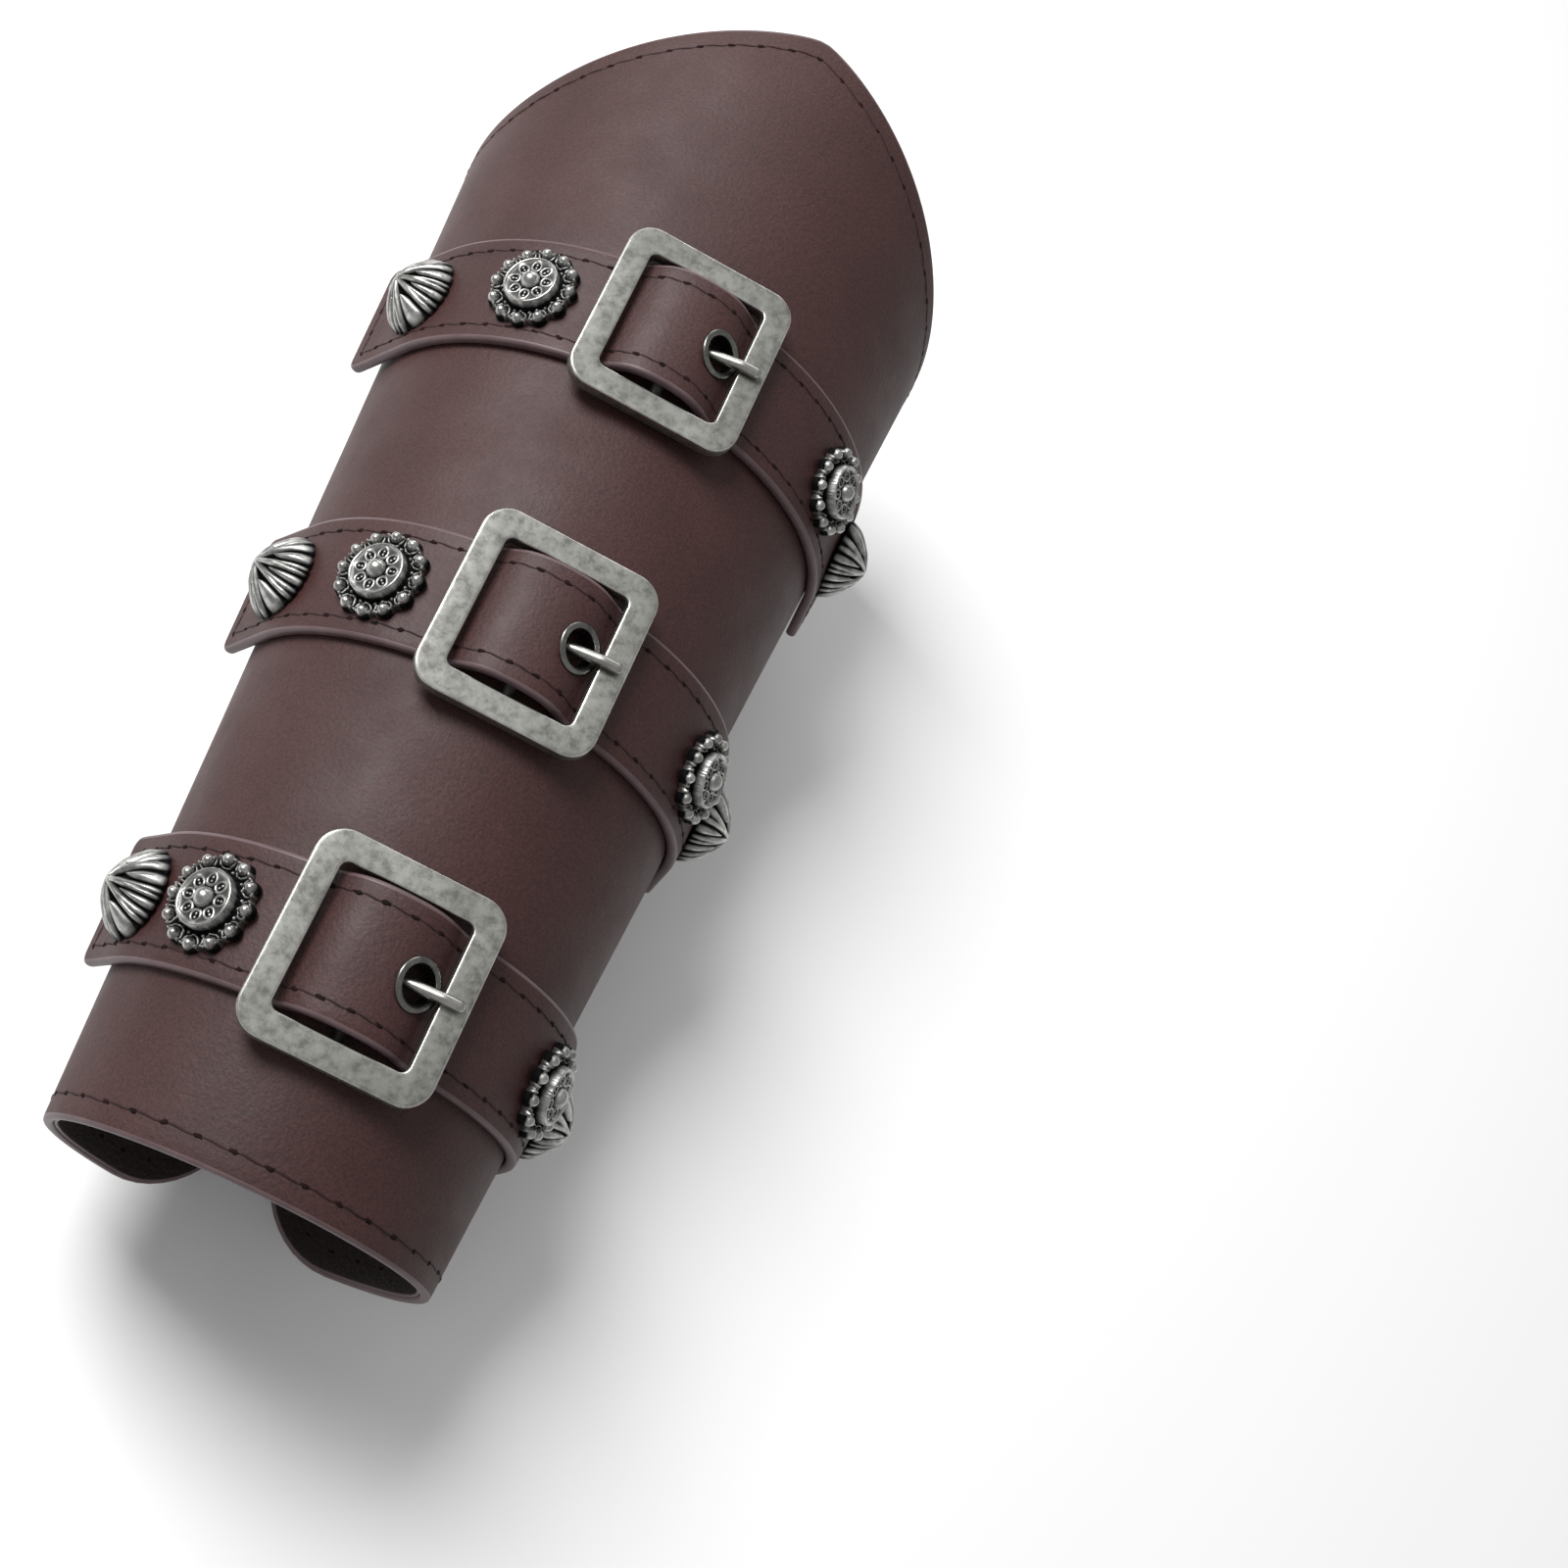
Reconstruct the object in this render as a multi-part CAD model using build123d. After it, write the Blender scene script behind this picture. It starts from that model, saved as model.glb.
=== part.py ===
from build123d import *
from math import atan, copysign, cos, degrees, hypot, pi, radians, sin
import os

# A laced and buckled leather forearm guard (vambrace), in millimetres.
# Working frame: +Y runs along the arm from the wrist edge (y = 0) to the elbow,
# +Z points out of the crown, where the buckles sit, and -Z out of the lacing.
# At the end everything is laid on the lacing side, so that line lies level.

# Leather body
side_length = 229.0
peak_rise = 30.0
peak_round = 12.0
peak_shoulder_x_share = 0.42
peak_shoulder_rise_share = 0.68
wrist_half_width = 37.8
wrist_half_depth = 35.1
elbow_half_width = 56.6
elbow_half_depth = 51.3
leather = 2.0
lining_thickness = 0.9
gap_at_wrist = 9.0
gap_at_elbow = 5.0
wrist_corner = 20.0
elbow_corner = 10.0
overrun = 20.0
girth_step = 0.2

# Lacing eyelets, counted from the elbow
eyelets_per_flap = 7
eyelet_pitch = 31.5
first_eyelet_from_side_edge = 19.5
eyelet_from_flap_edge = 18.5
eyelet_bore = 8.4
eyelet_wall = 0.5
eyelet_flange = 14.0
eyelet_flange_thickness = 0.8
eyelet_flange_round = 0.35
washer_diameter = 12.6
washer_thickness = 0.5

# Straps
strap_width = 25.4
strap_thickness = 2.2
strap_lift = 0.12
loop_start = 13.6
bump_shares = (0.15, 0.3, 0.5, 0.7, 0.85)
shoulder_x = 6.7
shoulder_drop = 1.4

# One row per strap: distance from the wrist, then arc lengths from the crown line
STRAPS = {
    "wrist": {"at": 40.4, "left_end": 64.0, "left_shell": 48.5, "left_rosette": 29.0,
              "right_rosette": 44.5, "right_shell": 63.5, "right_end": 78.5},
    "middle": {"at": 107.3, "left_end": 72.0, "left_shell": 54.5, "left_rosette": 29.5,
               "right_rosette": 46.5, "right_shell": 66.0, "right_end": 83.0},
    "elbow": {"at": 175.0, "left_end": 76.0, "left_shell": 57.0, "left_rosette": 29.5,
              "right_rosette": 46.0, "right_shell": 69.0, "right_end": 86.0},
}

# Buckles
frame_across = 35.6
frame_along = 38.2
frame_bar = 5.3
frame_thickness = 2.8
frame_corner = 5.4
frame_inner_corner = 1.6
frame_edge_round = 0.5
frame_height = 1.8
bar_radius = 1.1
bar_height = 2.4
prong_radius = 1.1
prong_ring_wall = 0.8
prong_ring_width = 2.6
prong_fit = 0.05
prong_tip_inset = 1.2
prong_bend = 4.4
clearance = 0.25

# Strap eyelet for the prong
hole_bore = 7.0
hole_wall = 0.35
hole_flange = 9.8
hole_flange_thickness = 0.6
hole_back_flange = 9.0
hole_back_thickness = 0.3

# Studs
rosette_diameter = 18.6
rosette_beads = 12
rosette_bead = 3.2
rosette_base = 1.8
rosette_disc = 11.0
rosette_disc_height = 3.6
rosette_rim = 0.7
rosette_dish = 0.5
rosette_boss = 3.4
rosette_boss_height = 5.0
shell_stud_diameter = 18.0
shell_stud_height = 7.5
shell_stud_ribs = 16
shell_stud_edge = 1.2
shell_stud_band_shares = ((0.9, 0.37), (0.72, 0.6), (0.5, 0.79), (0.26, 0.93))
shell_flute_radius = 1.3
rivet_radius = 1.3
rivet_head_radius = 3.0
rivet_head_thickness = 0.6
rivet_sink = 0.15

# Lace
lace_width = 9.5
lace_in_eyelet = 6.8
lace_thickness = 1.9
lace_gap = 0.35
leg_drops = {"left": 7.0, "right": 22.5}
tail_climbs = {"left": 16.6, "right": 32.5}
tail_pinch = 4.4
tail_across = 9.0
tail_along = 24.0
gap_shares = (0.2, 0.8)
leg_over_shares = (0.1, 0.25, 0.6)
leg_under_shares = (0.4, 0.75, 0.93)
bar_shares = (0.06, 0.2, 0.5, 0.8, 0.94)
tail_over_shares = (0.08, 0.2, 0.55, 0.8)
tail_under_share = 0.25
rim_lift_share = 0.95
aglet_length = 12.0
aglet_wall = 0.3

full_length = side_length + peak_rise


def half_width(y):
    return wrist_half_width + (elbow_half_width - wrist_half_width) * y / side_length


def half_depth(y):
    return wrist_half_depth + (elbow_half_depth - wrist_half_depth) * y / side_length


crown_slope = (elbow_half_depth - wrist_half_depth) / side_length
side_slope = (elbow_half_width - wrist_half_width) / side_length
lay_angle = degrees(atan(crown_slope))


def girth_angle(arc, y):
    """Angle from the crown at which the girth at y has run the given arc."""
    step = radians(girth_step)
    angle = 0.0
    run = 0.0
    while run < abs(arc):
        run += hypot(half_width(y) * cos(angle), half_depth(y) * sin(angle)) * step
        angle += step
    return copysign(angle, arc)


def on_body(angle, y, lift):
    """Point at a girth angle, a lift out of the leather's outer face."""
    return Vector(
        (half_width(y) + lift) * sin(angle),
        y,
        (half_depth(y) + lift) * cos(angle),
    )


def seat(angle, y, lift):
    """Plane on the body: its normal points outwards, its x runs round the arm."""
    round_the_arm = Vector(half_width(y) * cos(angle), 0, -half_depth(y) * sin(angle))
    along = Vector(side_slope * sin(angle), 1, crown_slope * cos(angle))
    normal = round_the_arm.cross(along).normalized()
    foot = on_body(angle, y, 0)
    return Plane(origin=foot + normal * lift, x_dir=round_the_arm.normalized(), z_dir=normal)


def underside(arc, y, lift):
    """Plane on the lacing side, an arc length from its centre line."""
    return seat(pi - girth_angle(arc, y), y, lift)


def under_point(arc, y, lift):
    return underside(arc, y, lift).origin


# Leather body
def section_at(y):
    """Plane across the arm: x across, y out of the crown."""
    return Plane(origin=(0, y, 0), x_dir=(1, 0, 0), z_dir=(0, -1, 0))


def girth_face(y, inset):
    return section_at(y) * Ellipse(half_width(y) - inset, half_depth(y) - inset)


def tube(outer_inset, inner_inset):
    """Tapered oval tube, cut through at both ends."""
    far = full_length + overrun
    outer = loft([girth_face(0, outer_inset), girth_face(far, outer_inset)], ruled=True)
    inner = loft([girth_face(-overrun, inner_inset), girth_face(far + overrun, inner_inset)], ruled=True)
    return outer - inner


def elbow_waste():
    """What the pointed elbow edge leaves off the upper half."""
    shoulder_x_at = elbow_half_width * peak_shoulder_x_share
    shoulder_y = side_length + peak_rise * peak_shoulder_rise_share
    left = ThreePointArc((-elbow_half_width, side_length), (-shoulder_x_at, shoulder_y), (0, full_length))
    right = ThreePointArc((0, full_length), (shoulder_x_at, shoulder_y), (elbow_half_width, side_length))
    reach = elbow_half_width + overrun
    top = full_length + overrun * 3
    rest = Polyline(
        (elbow_half_width, side_length),
        (reach, side_length),
        (reach, top),
        (-reach, top),
        (-reach, side_length),
        (-elbow_half_width, side_length),
    )
    face = make_face([left, right, rest])
    peak = face.vertices().sort_by_distance((0, full_length))[0]
    face = fillet(peak, peak_round)
    return extrude(face, elbow_half_depth + overrun)


def flap_waste():
    """What the two flaps leave off the lower half."""
    reach = elbow_half_width + overrun
    flaps = []
    for side in (1, -1):
        inner_wrist = side * gap_at_wrist / 2
        inner_elbow = side * gap_at_elbow / 2
        flap = make_face(Polyline(
            (inner_wrist, 0),
            (side * reach, 0),
            (side * reach, side_length),
            (inner_elbow, side_length),
            close=True,
        ))
        wrist_end = flap.vertices().sort_by_distance((inner_wrist, 0))[0]
        flap = fillet(wrist_end, wrist_corner)
        elbow_end = flap.vertices().sort_by_distance((inner_elbow, side_length))[0]
        flaps.append(fillet(elbow_end, elbow_corner))
    field = Pos(0, full_length / 2, 0) * Rectangle(2 * reach + overrun, full_length + overrun * 4)
    waste = field - flaps[0] - flaps[1]
    return extrude(waste, -(elbow_half_depth + overrun))


def eyelet_rows():
    """Every lacing eyelet: which flap, and where it sits from the centre line."""
    rows = []
    for side in (-1, 1):
        for number in range(eyelets_per_flap):
            y = side_length - first_eyelet_from_side_edge - number * eyelet_pitch
            rows.append((side, number, side * (half_gap(y) + eyelet_from_flap_edge), y))
    return rows


def half_gap(y):
    return (gap_at_wrist + (gap_at_elbow - gap_at_wrist) * y / side_length) / 2


def stud_places():
    """Every stud: strap name, stud name and its seat on the strap."""
    places = []
    for name, strap in STRAPS.items():
        for stud in ("left_shell", "left_rosette", "right_rosette", "right_shell"):
            sign = -1 if stud.startswith("left") else 1
            angle = girth_angle(sign * strap[stud], strap["at"])
            places.append((name, stud, seat(angle, strap["at"], strap_lift + strap_thickness)))
    return places


def drill(radius, above, below):
    """Cutter along a seat's normal, from above the seat to below it."""
    return Pos(0, 0, (above - below) / 2) * Cylinder(radius, above + below)


def body_shell(outer_inset, inner_inset):
    return tube(outer_inset, inner_inset) - elbow_waste() - flap_waste()


total_wall = leather + lining_thickness
eyelet_outer = eyelet_bore / 2 + eyelet_wall
stack = strap_lift + strap_thickness + leather - rivet_sink


def make_shell():
    cuts = []
    for _, _, arc, y in eyelet_rows():
        place = underside(arc, y, 0)
        cuts.append(place * drill(eyelet_outer, overrun / 4, overrun / 4))
    for _, _, place in stud_places():
        cuts.append(place * drill(rivet_radius, overrun / 4, stack + overrun / 4))
        foot = place * Pos(0, 0, -stack)
        cuts.append(foot * drill(rivet_head_radius, rivet_head_thickness, overrun / 4))
    return body_shell(0, leather) - cuts


def make_lining():
    cuts = []
    for _, _, arc, y in eyelet_rows():
        place = underside(arc, y, 0)
        cuts.append(place * drill(eyelet_outer, overrun / 4, overrun / 4))
        inside = place * Pos(0, 0, -total_wall)
        cuts.append(inside * drill(washer_diameter / 2, 0, overrun / 4))
    return body_shell(leather, total_wall) - cuts


# Lacing eyelets
def make_eyelet():
    """Rolled eyelet: flange outside, barrel through the flap, edge rolled inside."""
    bore = eyelet_bore / 2
    flange = eyelet_flange / 2
    depth = total_wall + washer_thickness
    profile = Polyline(
        (bore, -depth),
        (bore, eyelet_flange_thickness),
        (flange, eyelet_flange_thickness),
        (flange, 0),
        (eyelet_outer, 0),
        (eyelet_outer, -depth),
        close=True,
    )
    face = make_face(profile)
    lips = [
        face.vertices().sort_by_distance((bore, eyelet_flange_thickness))[0],
        face.vertices().sort_by_distance((flange, eyelet_flange_thickness))[0],
    ]
    face = fillet(lips, eyelet_flange_round)
    return revolve(Plane.XZ * face, Axis.Z)


def make_washer():
    ring = Circle(washer_diameter / 2) - Circle(eyelet_outer)
    return Pos(0, 0, -total_wall - washer_thickness) * extrude(ring, washer_thickness)


# Straps
def strap_angles(name):
    strap = STRAPS[name]
    y = strap["at"]
    return {
        "left_leave": girth_angle(-strap["left_shell"], y),
        "left_loop": girth_angle(-loop_start, y),
        "right_loop": girth_angle(loop_start, y),
        "right_leave": girth_angle(strap["right_shell"], y),
    }


def loop_top():
    """Lift of the strap's lower face where it rides over the buckle's hidden bar."""
    return bar_height + bar_radius + prong_fit + prong_ring_wall + clearance


def strap_lines(name, y):
    """Lower and upper outline of a strap on the section at y, left to right."""
    strap = STRAPS[name]
    angles = strap_angles(name)
    crown = half_depth(y)
    low_lift = strap_lift
    high_lift = strap_lift + strap_thickness
    section = section_at(y)

    def flat(point):
        return (point.X, point.Z)

    def tangent(angle):
        return Vector(half_width(y) * cos(angle), 0, -half_depth(y) * sin(angle)).normalized()

    lines = []
    for lift in (low_lift, high_lift):
        ends = []
        for side, sign in (("left", -1), ("right", 1)):
            leave = angles[side + "_leave"]
            free = strap[side + "_end"] - strap[side + "_shell"]
            tip = on_body(leave, y, lift) + tangent(leave) * (sign * free)
            ends.append((tip, on_body(leave, y, lift)))
        (left_tip, left_leave), (right_leave_tip, right_leave) = ends[0], ends[1]
        left_loop = on_body(angles["left_loop"], y, lift)
        right_loop = on_body(angles["right_loop"], y, lift)
        left_line = Line(flat(left_tip), flat(left_leave))
        wide = half_width(y) + lift
        deep = half_depth(y) + lift
        left_turn = degrees(angles["left_loop"] - angles["left_leave"])
        right_turn = degrees(angles["right_leave"] - angles["right_loop"])
        left_start = 90 - degrees(angles["left_loop"])
        right_start = 90 - degrees(angles["right_leave"])
        left_arc = EllipticalCenterArc((0, 0), wide, deep, left_start, arc_size=left_turn)
        right_arc = EllipticalCenterArc((0, 0), wide, deep, right_start, arc_size=right_turn)
        rise = tangent(angles["left_loop"])
        fall = tangent(angles["right_loop"])
        if lift == low_lift:
            bump = Spline(
                flat(left_loop),
                (-shoulder_x, crown + loop_top() - shoulder_drop),
                (0, crown + loop_top()),
                (shoulder_x, crown + loop_top() - shoulder_drop),
                flat(right_loop),
                tangents=[flat(rise), flat(fall)],
            )
            low_bump = bump
        else:
            points = []
            for share in bump_shares:
                along = low_bump % share
                up = Vector(-along.Y, along.X)
                points.append(low_bump @ share + up * strap_thickness)
            bump = Spline(flat(left_loop), *points, flat(right_loop), tangents=[flat(rise), flat(fall)])
        right_line = Line(flat(right_leave), flat(right_leave_tip))
        lines.append([left_line, left_arc, bump, right_arc, right_line])
    return section, lines


def strap_section(name, y):
    section, (low, high) = strap_lines(name, y)
    left_cap = Line(low[0] @ 0, high[0] @ 0)
    right_cap = Line(low[4] @ 1, high[4] @ 1)
    return section * make_face([*low, *high, left_cap, right_cap])


def shoulder_plane(name):
    """Middle of the strap where the prong comes through, with its outward normal."""
    y = STRAPS[name]["at"]
    section, (low, _) = strap_lines(name, y)
    bump = low[2]
    foot = Vector(shoulder_x, half_depth(y) + loop_top() - shoulder_drop)
    along = bump % bump.param_at_point(foot)
    normal = Vector(-along.Y, 0, along.X)
    lean = Vector(0, 1, crown_slope)
    round_the_arm = lean.cross(normal).normalized()
    up = round_the_arm.cross(lean).normalized()
    low_point = Vector(foot.X, y, foot.Y)
    return Plane(origin=low_point + up * strap_thickness, x_dir=round_the_arm, z_dir=up)


def make_strap(name):
    y = STRAPS[name]["at"]
    band = loft(
        [strap_section(name, y - strap_width / 2), strap_section(name, y + strap_width / 2)],
        ruled=True,
    )
    hole = shoulder_plane(name)
    back = hole * Pos(0, 0, -strap_thickness)
    cuts = [
        hole * drill(hole_bore / 2 + hole_wall, overrun / 4, overrun / 4),
        hole * drill(hole_flange / 2, overrun / 4, 0),
        back * drill(hole_back_flange / 2, 0, overrun / 8),
    ]
    for strap_name, _, place in stud_places():
        if strap_name == name:
            cuts.append(place * drill(rivet_radius, overrun / 4, overrun / 4))
            cuts.append(place * drill(shell_stud_diameter / 2, overrun / 4, 0))
    return band - cuts


def make_strap_eyelet():
    bore = hole_bore / 2
    outer = bore + hole_wall
    depth = strap_thickness + hole_back_thickness
    face = make_face(Polyline(
        (bore, -depth),
        (bore, hole_flange_thickness),
        (hole_flange / 2, hole_flange_thickness),
        (hole_flange / 2, 0),
        (outer, 0),
        (outer, -strap_thickness),
        (hole_back_flange / 2, -strap_thickness),
        (hole_back_flange / 2, -depth),
        close=True,
    ))
    return revolve(Plane.XZ * face, Axis.Z)


# Buckles, in a frame on the crown: x across, y along the crown line, z outwards
def crown_seat(name):
    return seat(0, STRAPS[name]["at"], 0)


def make_frame():
    window_across = frame_across - 2 * frame_bar
    window_along = frame_along - 2 * frame_bar
    outline = RectangleRounded(frame_across, frame_along, frame_corner)
    window = RectangleRounded(window_across, window_along, frame_inner_corner)
    ring = extrude(outline - window, frame_thickness)
    face_edges = ring.faces().sort_by(Axis.Z)[-1].edges()
    ring = fillet(face_edges, frame_edge_round)
    ring = Pos(0, 0, frame_height) * ring
    bar = Rot(X=90) * Cylinder(bar_radius, window_along + frame_bar)
    return ring + Pos(0, 0, bar_height) * bar


def make_prong():
    """Wire prong: a ring on the hidden bar, a shank up through the strap's eyelet."""
    ring_outer = bar_radius + prong_fit + prong_ring_wall
    ring = Rot(X=90) * Cylinder(ring_outer, prong_ring_width)
    shank_top = frame_height + frame_thickness + prong_radius
    bend_x = frame_across / 2 - frame_bar
    tip_x = frame_across / 2 - prong_tip_inset
    start = (ring_outer / 2, 0, bar_height)
    path = FilletPolyline(start, (bend_x, 0, shank_top), (tip_x, 0, shank_top), radius=prong_bend)
    shank = sweep(Plane(origin=start, z_dir=path % 0) * Circle(prong_radius), path=path)
    hole = Rot(X=90) * Cylinder(bar_radius + prong_fit, prong_ring_width * 2)
    prong = Pos(0, 0, bar_height) * ring + shank
    return prong - Pos(0, 0, bar_height) * hole


# Studs, each on a seat with its outward normal along z
def make_rosette():
    """Beaded rim, a dished disc with a raised border, and a round boss."""
    radius = (rosette_diameter - rosette_bead) / 2
    outline = Circle(radius)
    beads = PolarLocations(radius, rosette_beads) * Circle(rosette_bead / 2)
    for bead in beads:
        outline += bead
    base = extrude(outline, rosette_base)
    disc_radius = rosette_disc / 2
    face = make_face(Polyline(
        (0, 0),
        (disc_radius, 0),
        (disc_radius, rosette_disc_height),
        (disc_radius - rosette_rim, rosette_disc_height),
        (disc_radius - rosette_rim, rosette_disc_height - rosette_dish),
        (rosette_boss / 2, rosette_disc_height - rosette_dish),
        (rosette_boss / 2, rosette_boss_height - rosette_rim),
        (rosette_boss / 2 - rosette_rim, rosette_boss_height),
        (0, rosette_boss_height),
        close=True,
    ))
    return base + revolve(Plane.XZ * face, Axis.Z)


def make_shell_stud():
    """Pointed dome with ribs that run from its tip to a fluted rim."""
    radius = shell_stud_diameter / 2
    bands = [(radius * out, shell_stud_height * up) for out, up in shell_stud_band_shares]
    profile = Polyline(
        (0, 0), (radius, 0), (radius, shell_stud_edge), *bands, (0, shell_stud_height), close=True
    )
    dome = revolve(Plane.XZ * make_face(profile), Axis.Z)
    flutes = PolarLocations(radius + shell_flute_radius / 2, shell_stud_ribs)
    return dome - [place * drill(shell_flute_radius, shell_stud_height, 0) for place in flutes]


def make_rivet():
    shank = Pos(0, 0, -stack / 2) * Cylinder(rivet_radius, stack)
    head = Pos(0, 0, -stack + rivet_head_thickness / 2) * Cylinder(rivet_head_radius, rivet_head_thickness)
    return shank + head


# Lace: flat ribbons on the lacing side, each a chain of straight-sided sections
half_lace = lace_thickness / 2
lift_on_leather = lace_gap + half_lace
lift_at_edge = lift_on_leather + lace_gap
flange_stand = (eyelet_flange / 2) ** 2 / (2 * wrist_half_depth)
lift_on_flange = eyelet_flange_thickness + flange_stand + lift_on_leather
lift_inside = -(total_wall + lift_on_leather)
lift_under_washer = lift_inside - washer_thickness - lace_gap
lift_under_lace = lift_under_washer - lace_thickness - lace_gap
lift_of_tail = lift_under_lace - aglet_wall - lace_gap
lift_over_lace = lift_on_flange + lace_thickness + lace_gap
lift_mid_barrel = -total_wall / 2
lift_below_barrel = -(total_wall + washer_thickness)


def between(start, end, share):
    """Place part of the way from one place on the unrolled leather to another."""
    return (start[0] + (end[0] - start[0]) * share, start[1] + (end[1] - start[1]) * share)


def ribbon(stations, thickness=lace_thickness):
    """Loft through (place, lift, width, way, heading) stations.

    The way is "out" or "in" through an eyelet, "flat" on the leather, or
    "turn" where the next stations set it. A "dive" through the gap turns the
    same way, with the ribbon's edges kept along the flaps."""
    centres = [under_point(*place, lift) for place, lift, _, _, _ in stations]
    faces = []
    for number, (place, lift, width, way, heading) in enumerate(stations):
        plane = underside(*place, 0)
        normal = plane.z_dir
        ahead = under_point(*heading, 0) - under_point(*place, 0)
        ahead = (ahead - normal * ahead.dot(normal)).normalized()
        across = normal.cross(ahead).normalized()
        if way == "out":
            run = normal
        elif way == "in":
            run = -normal
        elif way == "flat":
            run = ahead
        else:
            run = (centres[number + 1] - centres[number - 1]).normalized()
        if way == "dive":
            across = Vector(0, copysign(1, across.Y), 0)
        thick = run.cross(across).normalized() * (thickness / 2)
        wide = across * (width / 2)
        centre = centres[number]
        corners = [centre + wide + thick, centre - wide + thick, centre - wide - thick, centre + wide - thick]
        faces.append(make_face(Polyline(*corners, close=True)))
    return loft(faces, ruled=True)


def past(start, end):
    """As far again beyond the end."""
    return between(start, end, 2)


def through_gap(edge_a, edge_b, width, start_lift, end_lift):
    """Stations that take the ribbon from over one flap's edge to under the other's."""
    near, far = gap_shares
    return [
        (edge_a, start_lift, width, "dive", edge_b),
        (between(edge_a, edge_b, near), start_lift - half_lace, width, "dive", edge_b),
        (between(edge_a, edge_b, far), end_lift + half_lace, width, "dive", edge_b),
        (edge_b, end_lift, width, "dive", past(edge_a, edge_b)),
    ]


def lace_leg(start, end, crossing_y):
    """Out of an eyelet, over its flap's edge, under the other flap, to the next eyelet."""
    side = copysign(1, start[0])
    edge_a = (side * half_gap(crossing_y), crossing_y)
    edge_b = (-edge_a[0], crossing_y)
    rim, spread, level = leg_over_shares
    lower, low, turn = leg_under_shares
    return ribbon([
        (start, lift_mid_barrel, lace_in_eyelet, "out", edge_a),
        (start, eyelet_flange_thickness, lace_in_eyelet, "out", edge_a),
        (between(start, edge_a, rim), lift_on_flange * rim_lift_share, lace_in_eyelet, "turn", edge_a),
        (between(start, edge_a, spread), lift_on_flange, lace_width, "flat", edge_a),
        (between(start, edge_a, level), lift_on_flange, lace_width, "flat", edge_a),
        *through_gap(edge_a, edge_b, lace_width, lift_at_edge, lift_inside),
        (between(edge_b, end, lower), lift_under_washer, lace_width, "flat", end),
        (between(edge_b, end, low), lift_under_washer, lace_width, "flat", end),
        (between(edge_b, end, turn), lift_under_washer, lace_in_eyelet, "turn", end),
        (end, lift_below_barrel, lace_in_eyelet, "out", past(edge_b, end)),
        (end, lift_mid_barrel, lace_in_eyelet, "out", past(edge_b, end)),
    ])


def lace_bar(start, end):
    """The first stretch, which joins the two eyelets nearest the elbow inside."""
    first_turn, first, middle, last, last_turn = bar_shares
    return ribbon([
        (start, lift_mid_barrel, lace_in_eyelet, "in", end),
        (start, lift_below_barrel, lace_in_eyelet, "in", end),
        (between(start, end, first_turn), lift_under_washer, lace_in_eyelet, "turn", end),
        (between(start, end, first), lift_under_lace, lace_width, "flat", end),
        (between(start, end, middle), lift_under_lace, lace_width, "flat", end),
        (between(start, end, last), lift_under_lace, lace_width, "flat", end),
        (between(start, end, last_turn), lift_under_washer, lace_in_eyelet, "turn", end),
        (end, lift_below_barrel, lace_in_eyelet, "out", past(start, end)),
        (end, lift_mid_barrel, lace_in_eyelet, "out", past(start, end)),
    ])


def tail_route(start, side_name):
    """Where a tail crosses the gap, and where its end lies inside."""
    crossing_y = start[1] + tail_climbs[side_name]
    side = copysign(1, start[0])
    edge_a = (side * half_gap(crossing_y), crossing_y)
    edge_b = (-edge_a[0], crossing_y)
    rest = (edge_b[0] - side * tail_across, crossing_y + tail_along)
    reach = hypot(rest[0] - edge_b[0], rest[1] - edge_b[1])
    tip = between(edge_b, rest, 1 + aglet_length / reach)
    return edge_a, edge_b, rest, tip


def lace_tail(start, side_name):
    """The last stretch: back over the leg beside it, into the gap, and up inside."""
    edge_a, edge_b, rest, tip = tail_route(start, side_name)
    high = lift_over_lace if side_name == "right" else lift_on_flange
    rim, spread, level, pinch = tail_over_shares
    return ribbon([
        (start, lift_mid_barrel, lace_in_eyelet, "out", edge_a),
        (start, eyelet_flange_thickness, lace_in_eyelet, "out", edge_a),
        (between(start, edge_a, rim), lift_on_flange * rim_lift_share, lace_in_eyelet, "turn", edge_a),
        (between(start, edge_a, spread), high, lace_width, "flat", edge_a),
        (between(start, edge_a, level), high, lace_width, "flat", edge_a),
        (between(start, edge_a, pinch), high, lace_in_eyelet, "flat", edge_a),
        *through_gap(edge_a, edge_b, tail_pinch, lift_at_edge, lift_of_tail),
        (between(edge_b, rest, tail_under_share), lift_of_tail, tail_pinch, "flat", rest),
        (rest, lift_of_tail, tail_pinch, "flat", tip),
    ])


def make_aglet(start, side_name):
    _, _, rest, tip = tail_route(start, side_name)
    width = tail_pinch + 2 * aglet_wall
    return ribbon([
        (rest, lift_of_tail, width, "flat", tip),
        (tip, lift_of_tail, width, "flat", past(rest, tip)),
    ], lace_thickness + 2 * aglet_wall)


def eyelet_place(side, number):
    y = side_length - first_eyelet_from_side_edge - number * eyelet_pitch
    return (side * (half_gap(y) + eyelet_from_flap_edge), y)


def make_lace():
    runs = [lace_bar(eyelet_place(-1, 0), eyelet_place(1, 0))]
    for number in range(eyelets_per_flap - 1):
        for side, side_name in ((-1, "left"), (1, "right")):
            start = eyelet_place(side, number)
            end = eyelet_place(-side, number + 1)
            runs.append(lace_leg(start, end, start[1] - leg_drops[side_name]))
    for side, side_name in ((-1, "left"), (1, "right")):
        runs.append(lace_tail(eyelet_place(side, eyelets_per_flap - 1), side_name))
    return Compound(runs)


def make_aglets():
    last = eyelets_per_flap - 1
    return Compound([make_aglet(eyelet_place(side, last), name) for side, name in ((-1, "left"), (1, "right"))])


# The whole guard
def group(shape, places):
    return Compound([place * shape for place in places])


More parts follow.
